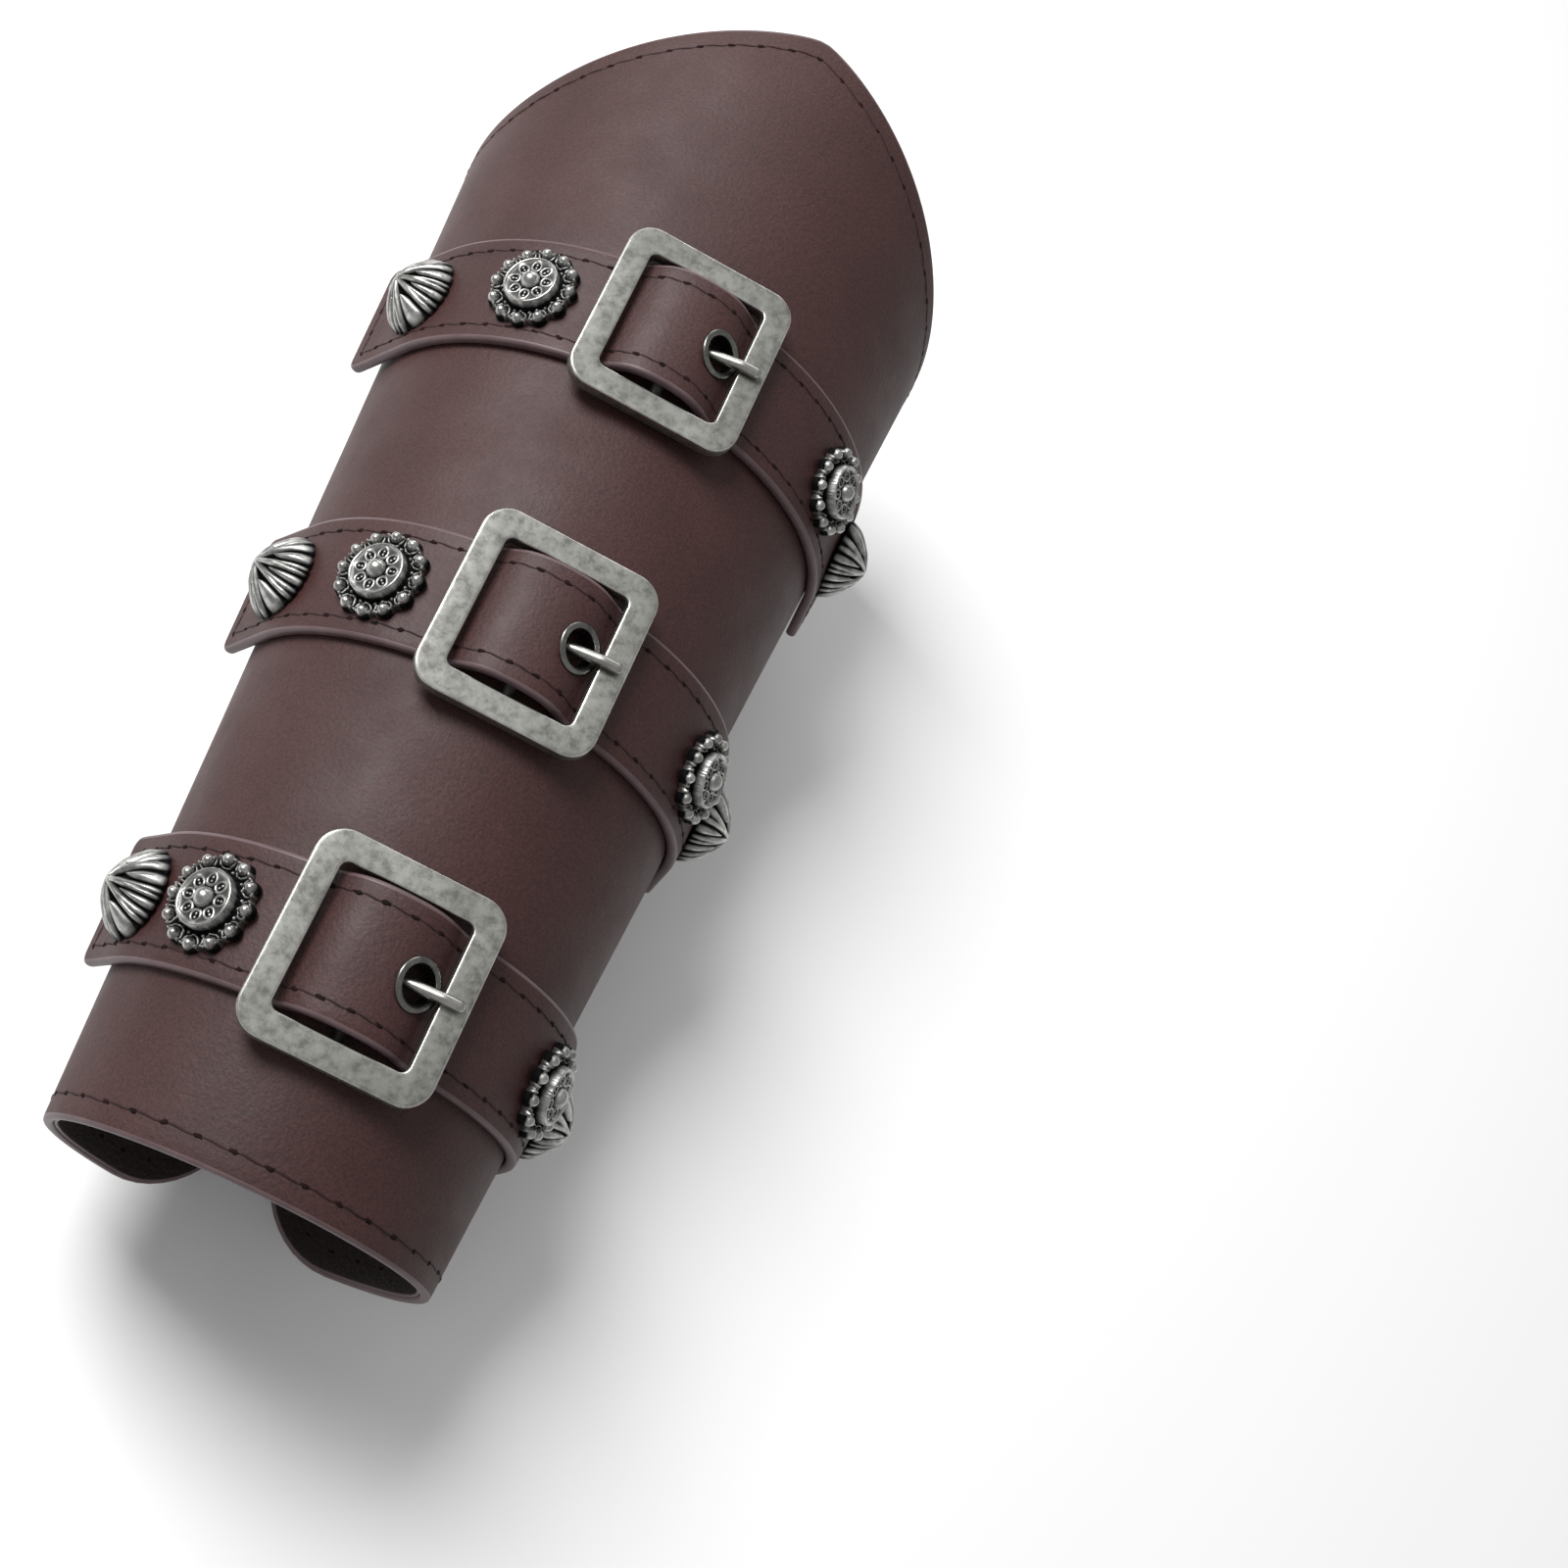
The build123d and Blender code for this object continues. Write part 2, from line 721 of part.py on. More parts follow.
def all_parts():
    parts = {"outer_shell": make_shell(), "lining": make_lining()}
    eyelet = make_eyelet()
    washer = make_washer()
    for side, side_name in ((-1, "left"), (1, "right")):
        places = [underside(arc, y, 0) for flap, _, arc, y in eyelet_rows() if flap == side]
        parts["lacing_eyelets_" + side_name] = group(eyelet, places)
        parts["eyelet_washers_" + side_name] = group(washer, places)
    parts["lace"] = make_lace()
    parts["lace_aglets"] = make_aglets()
    rosette = make_rosette()
    shell_stud = make_shell_stud()
    rivet = make_rivet()
    frame = make_frame()
    prong = make_prong()
    hole = make_strap_eyelet()
    for name in STRAPS:
        parts[name + "_strap"] = make_strap(name)
        parts[name + "_strap_eyelet"] = shoulder_plane(name) * hole
        parts[name + "_buckle_frame"] = crown_seat(name) * frame
        parts[name + "_buckle_prong"] = crown_seat(name) * prong
        places = [(stud, place) for strap, stud, place in stud_places() if strap == name]
        for stud, place in places:
            shape = shell_stud if stud.endswith("shell") else rosette
            parts[name + "_" + stud] = place * shape
        parts[name + "_stud_rivets"] = group(rivet, [place for _, place in places])
    return parts


def main():
    os.makedirs("parts", exist_ok=True)
    parts = {name: Rot(X=lay_angle) * shape for name, shape in all_parts().items()}
    box = Compound(list(parts.values())).bounding_box()
    home = Pos(-(box.min.X + box.max.X) / 2, -(box.min.Y + box.max.Y) / 2, -box.min.Z)
    for name, shape in parts.items():
        export_step(home * shape, "parts/" + name + ".step")
    print("moved by", home.position)
    print("size", box.size)
    for name in STRAPS:
        place = home * Rot(X=lay_angle) * crown_seat(name).location * Pos(0, 0, bar_height)
        axis = Plane(place)
        print(name, "buckle bar at", axis.origin, "along", axis.y_dir)


main()
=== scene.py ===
import math

import bpy
import numpy as np
from mathutils import Matrix, Vector


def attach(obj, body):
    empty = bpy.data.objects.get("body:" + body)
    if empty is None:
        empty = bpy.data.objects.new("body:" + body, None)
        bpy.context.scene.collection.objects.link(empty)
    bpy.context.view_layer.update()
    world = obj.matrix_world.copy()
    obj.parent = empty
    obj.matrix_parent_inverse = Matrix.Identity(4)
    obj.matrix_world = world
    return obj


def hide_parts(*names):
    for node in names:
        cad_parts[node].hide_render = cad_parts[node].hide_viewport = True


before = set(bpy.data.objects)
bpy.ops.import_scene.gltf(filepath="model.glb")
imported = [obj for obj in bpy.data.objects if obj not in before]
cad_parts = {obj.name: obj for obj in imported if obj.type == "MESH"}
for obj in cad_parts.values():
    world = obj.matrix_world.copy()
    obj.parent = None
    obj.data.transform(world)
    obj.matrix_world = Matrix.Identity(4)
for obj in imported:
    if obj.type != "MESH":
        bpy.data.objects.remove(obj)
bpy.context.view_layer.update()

# Sizes in millimetres, in the frame of the CAD source: +Y from the wrist edge
# to the elbow, +Z out of the crown. to_row() turns them into the part's frame.
metre = 1000.0
tiny = 1e-12
laid_move = (-0.899792, -125.825, 40.7508)

# Leather guard
side_length = 229.0
peak_rise = 30.0
peak_soft = 1.9
peak_shoulder_x_share = 0.42
peak_shoulder_rise_share = 0.68
peak_inset_share = 1.12
wrist_half_width = 37.8
wrist_half_depth = 35.1
elbow_half_width = 56.6
elbow_half_depth = 51.3
leather = 2.0
lining_thickness = 0.9
gap_at_wrist = 9.0
gap_at_elbow = 5.0
wrist_corner = 20.0
elbow_corner = 10.0
edge_round = 0.85
lining_inset = 0.5
lining_round = 0.35
rim_steps = 8
rim_fullness = 0.7
body_rows = 120
body_columns = 150
corner_columns = 12
angle_count = 361
edge_levels = 40
edge_rounds = 8
table_levels = 160
table_margin = 20.0
cutter_sides = 32

# Waves in the leather and creases in the lining: depth, sizes and seed
leather_waves = (0.16, (70.0, 31.0), 3)
lining_creases = (0.22, (9.0, 5.0, 3.1), 8)
waves_per_size = 4

# Stitches
stitch_pitch = 6.4
stitch_inset = 4.4
strap_stitch_inset = 3.4
strap_stitch_pitch = 5.4
steps_per_stitch = 8
thread_radius = 0.24
thread_sides = 6
thread_proud = -0.06
stitch_slant = 0.13
hole_radius = 0.54
hole_stretch = 2.0
hole_height = 0.15
hole_corners = 10
hole_raggedness = 0.35
hole_top_share = 0.55

# Lacing eyelets
eyelets_per_flap = 7
eyelet_pitch = 31.5
first_eyelet_from_side_edge = 19.5
eyelet_from_flap_edge = 18.5
eyelet_bore = 8.4
eyelet_wall = 0.5
eyelet_flange = 14.0
eyelet_flange_thickness = 0.8
eyelet_segments = 56
flange_points = 11
flange_fullness = 0.75
flange_lip = 0.05
washer_diameter = 12.6
washer_thickness = 0.5
washer_segments = 40
washer_edge_rise = 0.15
washer_edge_inset = 0.3

# Straps
strap_width = 25.4
strap_thickness = 2.2
strap_lift = 0.12
loop_start = 13.6
shoulder_x = 6.7
shoulder_drop = 1.4
strap_corner = 2.6
strap_corner_columns = 8
strap_rows = 18
strap_columns = 220
tip_points = 12
left_points = 70
loop_points = 80
right_points = 90
STUDS = ("left_shell", "left_rosette", "right_rosette", "right_shell")
STRAP_MARKS = ("at", "left_end", *STUDS, "right_end")
STRAPS = {
    "wrist": dict(zip(STRAP_MARKS, (40.4, 64.0, 48.5, 29.0, 44.5, 63.5, 78.5))),
    "middle": dict(zip(STRAP_MARKS, (107.3, 72.0, 54.5, 29.5, 46.5, 66.0, 83.0))),
    "elbow": dict(zip(STRAP_MARKS, (175.0, 76.0, 57.0, 29.5, 46.0, 69.0, 86.0))),
}

# Buckles
frame_across = 35.6
frame_along = 38.2
frame_bar = 5.3
frame_thickness = 2.8
frame_corner = 5.4
frame_inner_corner = 1.6
frame_corner_points = 10
frame_edge_round = 0.36
frame_edge_points = 5
face_crown = 0.03
face_shares = ((0.13, 0.5), (0.5, 1.0), (0.87, 0.5))
frame_height = 1.8
bar_radius = 1.1
bar_height = 2.4
bar_sides = 14
prong_radius = 1.1
prong_sides = 16
prong_tip_share = 0.25
prong_ring_wall = 0.8
prong_ring_width = 2.6
prong_ring_edge = 0.3
prong_ring_segments = 24
prong_fit = 0.05
prong_tip_inset = 1.2
prong_bend = 4.4
prong_points = (16, 12, 14)
clearance = 0.25

# Strap eyelet for the prong
hole_bore = 7.0
hole_wall = 0.35
hole_flange = 9.8
hole_flange_thickness = 0.6
hole_back_flange = 9.0
hole_back_thickness = 0.3
hole_segments = 112

# Rosette studs
rosette_diameter = 18.6
rosette_beads = 12
rosette_bead = 3.2
rosette_disc = 11.0
rosette_disc_height = 3.6
rosette_rim = 0.7
rosette_dish = 0.5
rosette_boss = 3.8
rosette_boss_height = 5.0
rosette_petals = 8
rosette_pips = 24
rosette_grid = (90, 288)
rim_width_share = 0.62
lobe_sharpness = 1.4
lobe_share = 0.72
petal_length_share = 0.86
petal_width_share = 0.84
petal_line = (0.86, 0.2)
petal_dots = ((0.3, 0.24), (-0.3, 0.22))
dot_share = 0.8
petal_shift = 0.05
petal_relief = 0.26
boss_shadow_shift = 0.2
boss_shadow_width = 0.35
border_height = 0.75
border_step = 0.35
border_step_at = 1.2
pip_shift = 0.62
pip_width = 0.34
pip_relief = 0.5
ball_shift = 0.25
ball_foot = 0.6
ball_rise = 1.35
ball_share = 0.36
collar_share = 0.52
collar_width = 0.2
collar_relief = 0.55
link_shift = 0.55
link_width = 0.3
link_relief = 0.5

# Shell studs
shell_stud_diameter = 18.0
shell_stud_height = 7.5
shell_stud_ribs = 16
shell_grid = (60, 320)
shell_height_share = 0.975
shell_least_height = 0.3
shell_groove = 2.4
shell_tip_width = 0.9
shell_tip_relief = 0.15
rib_root_width = 0.34
rib_growth = 1.5
short_rib_width = 1.6
short_rib_from = 0.44
short_rib_least = 0.001
least_share = 0.02
fork_root_width = 0.26
fork_growth = 0.2
fork_share = 0.3
fork_from = 0.5
fork_full = 0.8
rib_fullness = 2.4
short_rib_share = 0.92
knob_from = 0.9
knob_fall = 0.35
sways = ((0.16, 3, 0.7), (0.10, 5, 2.1))
rim_notch = 0.08
rim_rib_share = 0.65
bowl_share = 0.985
bowl_powers = (1.5, 0.6)
groove_growth = 2.6
groove_fall = 0.35

# Shades of the studs, from 0 where patina lies to 1 for bright metal
face_shade = 0.31
rim_light = 0.65
boss_shadow = 0.3
boss_light = 0.55
hollow_shadow = 0.2
hollow_share = 0.8
hollow_between_dots = 0.35
line_light = 0.9
collar_light = 0.6
link_light = 0.65
pip_light = 0.85
ball_light = 0.6
rib_light = 1.25
groove_shadow = 0.35
fork_shadow = 0.25
tip_light = 0.8

# Lace
lace_width = 9.5
lace_in_eyelet = 6.8
lace_thickness = 1.9
lace_gap = 0.35
leg_drops = {-1: 7.0, 1: 22.5}
tail_climbs = {-1: 16.6, 1: 32.5}
tail_pinch = 4.4
tail_across = 9.0
tail_along = 24.0
gap_shares = (0.2, 0.8)
leg_over_shares = (0.1, 0.25, 0.6)
leg_under_shares = (0.4, 0.75, 0.93)
bar_shares = (0.06, 0.2, 0.5, 0.8, 0.94)
tail_over_shares = (0.08, 0.2, 0.55)
tail_pinch_share = 0.8
tail_under_share = 0.25
rim_lift_share = 0.95
aglet_length = 12.0
aglet_wall = 0.3
station_gap = 0.05
lace_samples = 9000
braid_step = 0.46
braid_across = 22
braid_relief = 0.17
braid_pitch = 2.1
braid_columns = 7
braid_thickness_share = 0.9
braid_edge_crowding = 0.92
braid_fullness = 3.4
braid_slant = 0.9
braid_offset = 0.25
braid_edge_relief = 0.35
braid_sharpness = 0.6
braid_fall = 1.6
end_shade = 0.5

# Camera
camera_at = (-21.66, -40.37, 334.5)
camera_forward = (0.097, 0.415, -0.904)
camera_right = (0.882, 0.385, 0.272)
sensor = 36.0
photo_width = 1600.0
focal_pixels = 1848.47
principal_point = (562.65, 740.3)

# Stage, lights and the nearest distance that the camera sees, in metres
nearest_seen = 0.01
floor_size = 40.0
floor_grey = 0.86
floor_roughness = 0.6
sky_strength = 0.45
light_aim = (0, 0, 0.05)
LIGHTS = {
    "key": {"at": (-0.48, 0.2, 0.76), "size": (0.36, 0.5), "power": 10.5},
    "back": {"at": (-0.1, 0.9, 0.5), "size": (0.6, 0.4), "power": 2.0},
}

full_length = side_length + peak_rise
total_wall = leather + lining_thickness
width_slope = (elbow_half_width - wrist_half_width) / side_length
crown_slope = (elbow_half_depth - wrist_half_depth) / side_length
lay_angle = math.atan(crown_slope)


def half_width(y):
    return wrist_half_width + width_slope * y


def half_depth(y):
    return wrist_half_depth + crown_slope * y


def half_gap(y):
    return (gap_at_wrist + (gap_at_elbow - gap_at_wrist) * y / side_length) / 2


def laid(vectors):
    """Turns directions into the part's frame, where the lacing side lies level."""
    x, y, z = np.moveaxis(np.asarray(vectors, float), -1, 0)
    c, s = math.cos(lay_angle), math.sin(lay_angle)
    return np.stack([x, y * c - z * s, y * s + z * c], axis=-1)


def to_row(points):
    return (laid(points) + np.array(laid_move)) / metre


def unit(vectors):
    vectors = np.asarray(vectors, float)
    return vectors / np.maximum(np.linalg.norm(vectors, axis=-1, keepdims=True), tiny)


# Places on the tapered oval
angle_samples = np.linspace(0.0, math.pi, angle_count)


def girth_run(y):
    """Arc from the crown to each of the sampled angles."""
    speed = np.hypot(half_width(y) * np.cos(angle_samples), half_depth(y) * np.sin(angle_samples))
    steps = (speed[1:] + speed[:-1]) / 2 * np.diff(angle_samples)
    return np.concatenate([[0.0], np.cumsum(steps)])


def girth_angle(arc, y):
    """Angle from the crown at which the girth at y has run the given arc."""
    arc, y = np.broadcast_arrays(np.asarray(arc, float), np.asarray(y, float))
    angles = np.empty(arc.shape)
    for level in np.unique(y):
        here = y == level
        angles[here] = np.interp(np.abs(arc[here]), girth_run(level), angle_samples)
    return np.sign(arc) * angles


def seats(angle, y, lift=0.0):
    """Points with their directions round the arm, along it and outwards."""
    angle, y, lift = np.broadcast_arrays(*(np.asarray(value, float) for value in (angle, y, lift)))
    s, c = np.sin(angle), np.cos(angle)
    around = np.stack([half_width(y) * c, 0 * y, -half_depth(y) * s], axis=-1)
    along = np.stack([width_slope * s, 1 + 0 * y, crown_slope * c], axis=-1)
    normal = unit(np.cross(around, along))
    around = unit(around)
    foot = np.stack([half_width(y) * s, y, half_depth(y) * c], axis=-1)
    return foot + normal * lift[..., None], around, np.cross(normal, around), normal


def crown_place(arc, y, lift=0.0):
    return seats(girth_angle(arc, y), y, lift)


def under_place(arc, y):
    """Place on the lacing side, by the arc from its centre line."""
    return seats(math.pi - girth_angle(arc, y), y)


# Lines
def run_of(line):
    """Length run along a line at each of its points."""
    return np.concatenate([[0.0], np.cumsum(np.linalg.norm(np.diff(line, axis=0), axis=1))])


def sample(rows, run, places):
    """Rows of values that belong to runs, read at places between them."""
    return np.stack([np.interp(places, run, column) for column in rows.T], -1)


def hermite(points, ways, knots, places):
    """Smooth line through points that has a set way at each of them."""
    k = np.clip(np.searchsorted(knots, places, side="right") - 1, 0, len(points) - 2)
    h = (knots[k + 1] - knots[k])[:, None]
    t = (places - knots[k])[:, None] / h
    return (
        points[k] * (2 * t ** 3 - 3 * t ** 2 + 1) + ways[k] * h * (t ** 3 - 2 * t ** 2 + t)
        + points[k + 1] * (3 * t ** 2 - 2 * t ** 3) + ways[k + 1] * h * (t ** 3 - t ** 2)
    )


def clamped_spline(points, start_way, end_way, count):
    """Smoothest line through the points with set directions at both ends, and its ways."""
    points = np.asarray(points, float)
    knots = run_of(points)
    gaps = np.diff(knots)
    size = len(points)
    matrix, right = np.eye(size), np.zeros((size, 2))
    right[0], right[-1] = start_way, end_way
    for k in range(1, size - 1):
        before, after = gaps[k - 1], gaps[k]
        matrix[k, k - 1:k + 2] = 1 / before, 2 / before + 2 / after, 1 / after
        right[k] = 3 * ((points[k] - points[k - 1]) / before ** 2 + (points[k + 1] - points[k]) / after ** 2)
    ways = np.linalg.solve(matrix, right)
    return hermite(points, ways, knots, np.linspace(0, knots[-1], count)), ways


# Meshes. A form is a pair of points and four-cornered faces.
def grid_faces(rows, columns, wrap=False, closed=False):
    """Faces of a grid. It may wrap across, and close from its last row to its first."""
    r, c = np.indices((rows if closed else rows - 1, columns if wrap else columns - 1))
    below, after = (r + 1) % rows, (c + 1) % columns
    corners = [r * columns + c, r * columns + after, below * columns + after, below * columns + c]
    return np.stack(corners, -1).reshape(-1, 4)


def outward(points, faces):
    """Turns a closed form's faces to look outwards."""
    a, b, c, d = np.moveaxis(points[faces] - points.mean(axis=0), 1, 0)
    volume = np.sum(a * (np.cross(b, c) + np.cross(c, d)))
    return points, faces if volume > 0 else faces[:, ::-1]


def new_object(name, data):
    obj = bpy.data.objects.new(name, data)
    bpy.context.scene.collection.objects.link(obj)
    return obj


def mesh_object(name, points, faces):
    mesh = bpy.data.meshes.new(name)
    mesh.from_pydata(points.tolist(), [], faces.tolist())
    return new_object(name, mesh)


def make_piece(name, form, materials, node=None, body="guard", zones=None, shades=None):
    """A mesh that rides on a body. Zones are material numbers, shades a value a point."""
    obj = mesh_object(name, to_row(form[0]), form[1])
    mesh = obj.data
    for material in materials:
        mesh.materials.append(material)
    mesh.polygons.foreach_set("use_smooth", [True] * len(mesh.polygons))
    if zones is not None:
        mesh.polygons.foreach_set("material_index", zones.astype(int))
    if shades is not None:
        mesh.attributes.new("shade", "FLOAT", "POINT").data.foreach_set("value", shades)
    mesh.update()
    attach(obj, body)
    if node:
        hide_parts(node)
    return obj


def join(forms):
    starts = np.cumsum([0] + [len(points) for points, _ in forms[:-1]])
    faces = [faces + start for (_, faces), start in zip(forms, starts)]
    return np.concatenate([points for points, _ in forms]), np.concatenate(faces)


def ring_of(rows, columns):
    """Row and column numbers of the points round the edge of a grid."""
    across, up = np.arange(columns), np.arange(1, rows)
    return (
        np.concatenate([0 * across, up, 0 * across[1:] + rows - 1, up[-2::-1]]),
        np.concatenate([across, 0 * up + columns - 1, across[-2::-1], 0 * up[1:]]),
    )


def sheet(points, normals, thickness, rounding):
    """Closed sheet with a rounded rim. The grid is its outer face, set in by the rounding."""
    rows, columns = points.shape[:2]
    ring_rows, ring_columns = ring_of(rows, columns)
    index = ring_rows * columns + ring_columns
    flat, up = points.reshape(-1, 3), normals.reshape(-1, 3)
    edge, edge_up = flat[index], up[index]
    ahead = unit(np.roll(edge, -1, axis=0) - np.roll(edge, 1, axis=0))
    out = unit(np.cross(ahead, edge_up))
    count = len(index)
    loops, rings = [], [index]
    for step in range(1, rim_steps):
        turn = math.pi * step / rim_steps
        bulge = out * (rounding * math.sin(turn) ** rim_fullness)
        rings.append(len(flat) + count * len(loops) + np.arange(count))
        loops.append(edge + bulge - edge_up * (thickness * (1 - math.cos(turn)) / 2))
    inner_start = len(flat) + count * len(loops)
    rings.append(index + inner_start)
    rim = np.concatenate([
        np.stack([upper, lower, np.roll(lower, -1), np.roll(upper, -1)], -1)
        for upper, lower in zip(rings[:-1], rings[1:])
    ])
    outer = grid_faces(rows, columns)
    inner = outer[:, ::-1] + inner_start
    form = outward(np.concatenate([flat, *loops, flat - up * thickness]), np.concatenate([outer, rim, inner]))
    return form, np.repeat((0, 1, 2), (len(outer), len(rim), len(inner)))


def quarter_turns(count):
    return np.linspace(0, math.pi / 2, count)


def root(values):
    return np.sqrt(np.maximum(values, 0.0))


def circle(radius, sides):
    turns = np.linspace(0, 2 * math.pi, sides, endpoint=False)
    return radius * np.stack([np.cos(turns), np.sin(turns)], -1)


def lathe(profile, origin, around, along, normal, segments):
    """Revolves (radius, height) points about a seat's normal. The profile closes on itself."""
    profile = np.asarray(profile, float)
    radial = circle(1.0, segments) @ np.stack([around, along])
    points = origin + profile[:, :1] * radial[:, None] + profile[:, 1:] * normal
    return outward(points.reshape(-1, 3), grid_faces(segments, len(profile), wrap=True, closed=True))


def capped(rings, first_hub, last_hub):
    """Form from rings of an even count of points, with both ends closed to a hub."""
    rows, count = rings.shape[:2]
    k = np.arange(0, count, 2)
    threes = np.stack([k, k + 1, (k + 2) % count], -1)
    hubs = np.full((len(k), 1), rows * count)
    faces = np.concatenate([
        grid_faces(rows, count, wrap=True),
        np.concatenate([hubs, threes[:, ::-1]], axis=1),
        np.concatenate([threes + (rows - 1) * count, hubs + 1], axis=1),
    ])
    return outward(np.concatenate([rings.reshape(-1, 3), [first_hub], [last_hub]]), faces)


def sweep(centres, across, lift, section, closed=False):
    """Carries a closed section of (across, up) points along a line."""
    section = np.broadcast_to(section, (len(centres), *np.shape(section)[-2:]))
    across, lift = (np.broadcast_to(way, centres.shape)[:, None] for way in (across, lift))
    rings = centres[:, None] + section[..., :1] * across + section[..., 1:] * lift
    if closed:
        return outward(rings.reshape(-1, 3), grid_faces(*rings.shape[:2], wrap=True, closed=True))
    return capped(rings, centres[0], centres[-1])


def wavy(points, sizes, seed):
    """Smooth, repeatable waviness between -1 and 1 from a few crossed waves."""
    rng = np.random.default_rng(seed)
    total = np.zeros(points.shape[:-1])
    for size in np.repeat(sizes, waves_per_size):
        way = unit(rng.normal(size=3))
        total += np.sin(points @ way * (2 * math.pi / size) + rng.uniform(0, 2 * math.pi))
    return total / (waves_per_size * len(sizes))


# Materials. Noises are (scale, detail, roughness, distortion), bumps (strength, depth in millimetres).
NOISES = {
    "cloud": (38.0, 4.0, 0.55, 0.0), "fine": (2100.0, 3.0, 0.55, 0.0), "wear": (90.0, 5.0, 0.55, 0.0),
    "paint": (220.0, 4.0, 0.55, 0.0), "mottle": (420.0, 6.0, 0.7, 0.0), "tint": (90.0, 3.0, 0.55, 0.0),
    "fibre": (1500.0, 4.0, 0.7, 1.5),
}
BUMPS = {
    "cloud": (0.2, 0.7), "pores": (0.34, 0.16), "fine": (0.55, 0.12),
    "paint": (0.3, 0.25), "mottle": (0.16, 0.12), "fibre": (0.5, 0.2),
}
pore_scale = 1150.0
leather_shine = 0.38
leather_wear = (-0.05, 0.07)
metal_wear = (0.1, -0.06)
patina_roughness = 0.8
paint_shine = 0.8
lace_roughness = 0.55
lace_sheen = 0.15


class Look:
    """A material, with ways to build what feeds its shader."""

    def __init__(self, name, metallic, roughness):
        self.material = bpy.data.materials.new(name)
        self.material.use_nodes = True
        self.shader = self.material.node_tree.nodes["Principled BSDF"]
        self.set("Metallic", metallic)
        self.set("Roughness", roughness)

    def feed(self, socket, value):
        """Joins a socket to an output, or sets it to a number or a colour."""
        if isinstance(value, bpy.types.NodeSocket):
            self.material.node_tree.links.new(value, socket)
        else:
            socket.default_value = (*value, 1) if isinstance(value, tuple) else value

    def set(self, name, value):
        self.feed(self.shader.inputs[name], value)

    def node(self, kind, inputs):
        node = self.material.node_tree.nodes.new(kind)
        for socket, value in inputs.items():
            self.feed(node.inputs[socket], value)
        return node

    def texture(self, kind, **inputs):
        place = self.node("ShaderNodeTexCoord", {}).outputs["Object"]
        return self.node(kind, {"Vector": place, **inputs})

    def noise(self, name):
        inputs = zip(("Scale", "Detail", "Roughness", "Distortion"), NOISES[name])
        return self.texture("ShaderNodeTexNoise", **dict(inputs)).outputs["Fac"]

    def pores(self):
        cells = self.texture("ShaderNodeTexVoronoi", Scale=pore_scale)
        cells.feature = "SMOOTH_F1"
        return cells.outputs["Distance"]

    def shade(self):
        """The value that make_piece gives each point."""
        attribute = self.node("ShaderNodeAttribute", {})
        attribute.attribute_name = "shade"
        return attribute.outputs["Fac"]

    def ramp(self, source, low, high, places=(0.3, 0.7), middle=()):
        """Turns a source into colours between low and high. A single number is a grey."""
        node = self.node("ShaderNodeValToRGB", {"Fac": source})
        elements = node.color_ramp.elements
        for number, place, colour in zip((0, -1), places, (low, high)):
            elements[number].position = place
            elements[number].color = (*(colour if isinstance(colour, tuple) else (colour,) * 3), 1)
        for place, colour in middle:
            elements.new(place).color = (*colour, 1)
        return node.outputs["Color"]

    def mix(self, factor, first, second, blend):
        node = self.node("ShaderNodeMix", {})
        node.data_type = "RGBA"
        node.blend_type = blend
        for number, value in ((0, factor), (6, first), (7, second)):
            self.feed(node.inputs[number], value)
        return node.outputs[2]

    def tinted(self, colour, tint):
        return self.mix(1.0, colour, tint, "MULTIPLY")

    def bump(self, grain=1.0, **heights):
        """Chains bumps into the shader's normal."""
        inputs = {}
        for name, height in heights.items():
            strength, depth = BUMPS[name]
            inputs |= {"Height": height, "Strength": strength * grain, "Distance": depth / metre}
            inputs["Normal"] = self.node("ShaderNodeBump", inputs).outputs["Normal"]
        self.set("Normal", inputs["Normal"])


def leather_material(name, dark, light, roughness, grain=1.0):
    look = Look(name, 0.0, roughness)
    cloud, fine, wear = look.noise("cloud"), look.noise("fine"), look.noise("wear")
    speck = look.ramp(fine, 0.66, (1.30, 1.25, 1.25), (0.35, 0.65))
    look.set("Base Color", look.tinted(look.ramp(cloud, dark, light), speck))
    look.set("Roughness", look.ramp(wear, *(roughness + change for change in leather_wear)))
    look.set("Specular IOR Level", leather_shine)
    look.bump(grain, cloud=cloud, pores=look.pores(), fine=fine)
    return look.material


def paint_material(name, dark, light, roughness=0.45):
    look = Look(name, 0.0, roughness)
    cloud = look.noise("paint")
    look.set("Base Color", look.ramp(cloud, dark, light))
    look.set("Specular IOR Level", paint_shine * (1 - roughness))
    look.bump(paint=cloud)
    return look.material


def metal_material(name, mid, bright, roughness, patina=None):
    """Aged metal. A patina's colour lies where the points' shade is low."""
    look = Look(name, 1.0, roughness)
    mottle = look.noise("mottle")
    tint = look.ramp(look.noise("tint"), (0.82, 0.82, 0.80), 1.06)
    colour = look.tinted(look.ramp(mottle, mid, bright, (0.37, 0.63)), tint)
    rough = look.ramp(mottle, *(roughness + change for change in metal_wear))
    if patina:
        shade = look.shade()
        colour = look.mix(look.ramp(shade, 0.0, 1.0, (0.25, 0.62)), patina, colour, "MIX")
        rough = look.ramp(shade, patina_roughness, roughness, (0.2, 0.8))
    look.set("Base Color", colour)
    look.set("Roughness", rough)
    look.bump(mottle=mottle)
    return look.material


def lace_material(name, dark, mid, light):
    look = Look(name, 0.0, lace_roughness)
    fibre = look.noise("fibre")
    # Painted shade and light: the braid is darker down in the grooves between its strands and lighter on
    # their ridges, following the relief
    groove_shaded_strand = look.ramp(look.shade(), dark, light, (0.15, 0.95), ((0.55, mid),))
    look.set("Base Color", look.tinted(groove_shaded_strand, look.ramp(fibre, 0.7, (1.45, 1.42, 1.42), (0.35, 0.7))))
    look.set("Sheen Weight", lace_sheen)
    look.bump(fibre=fibre)
    return look.material


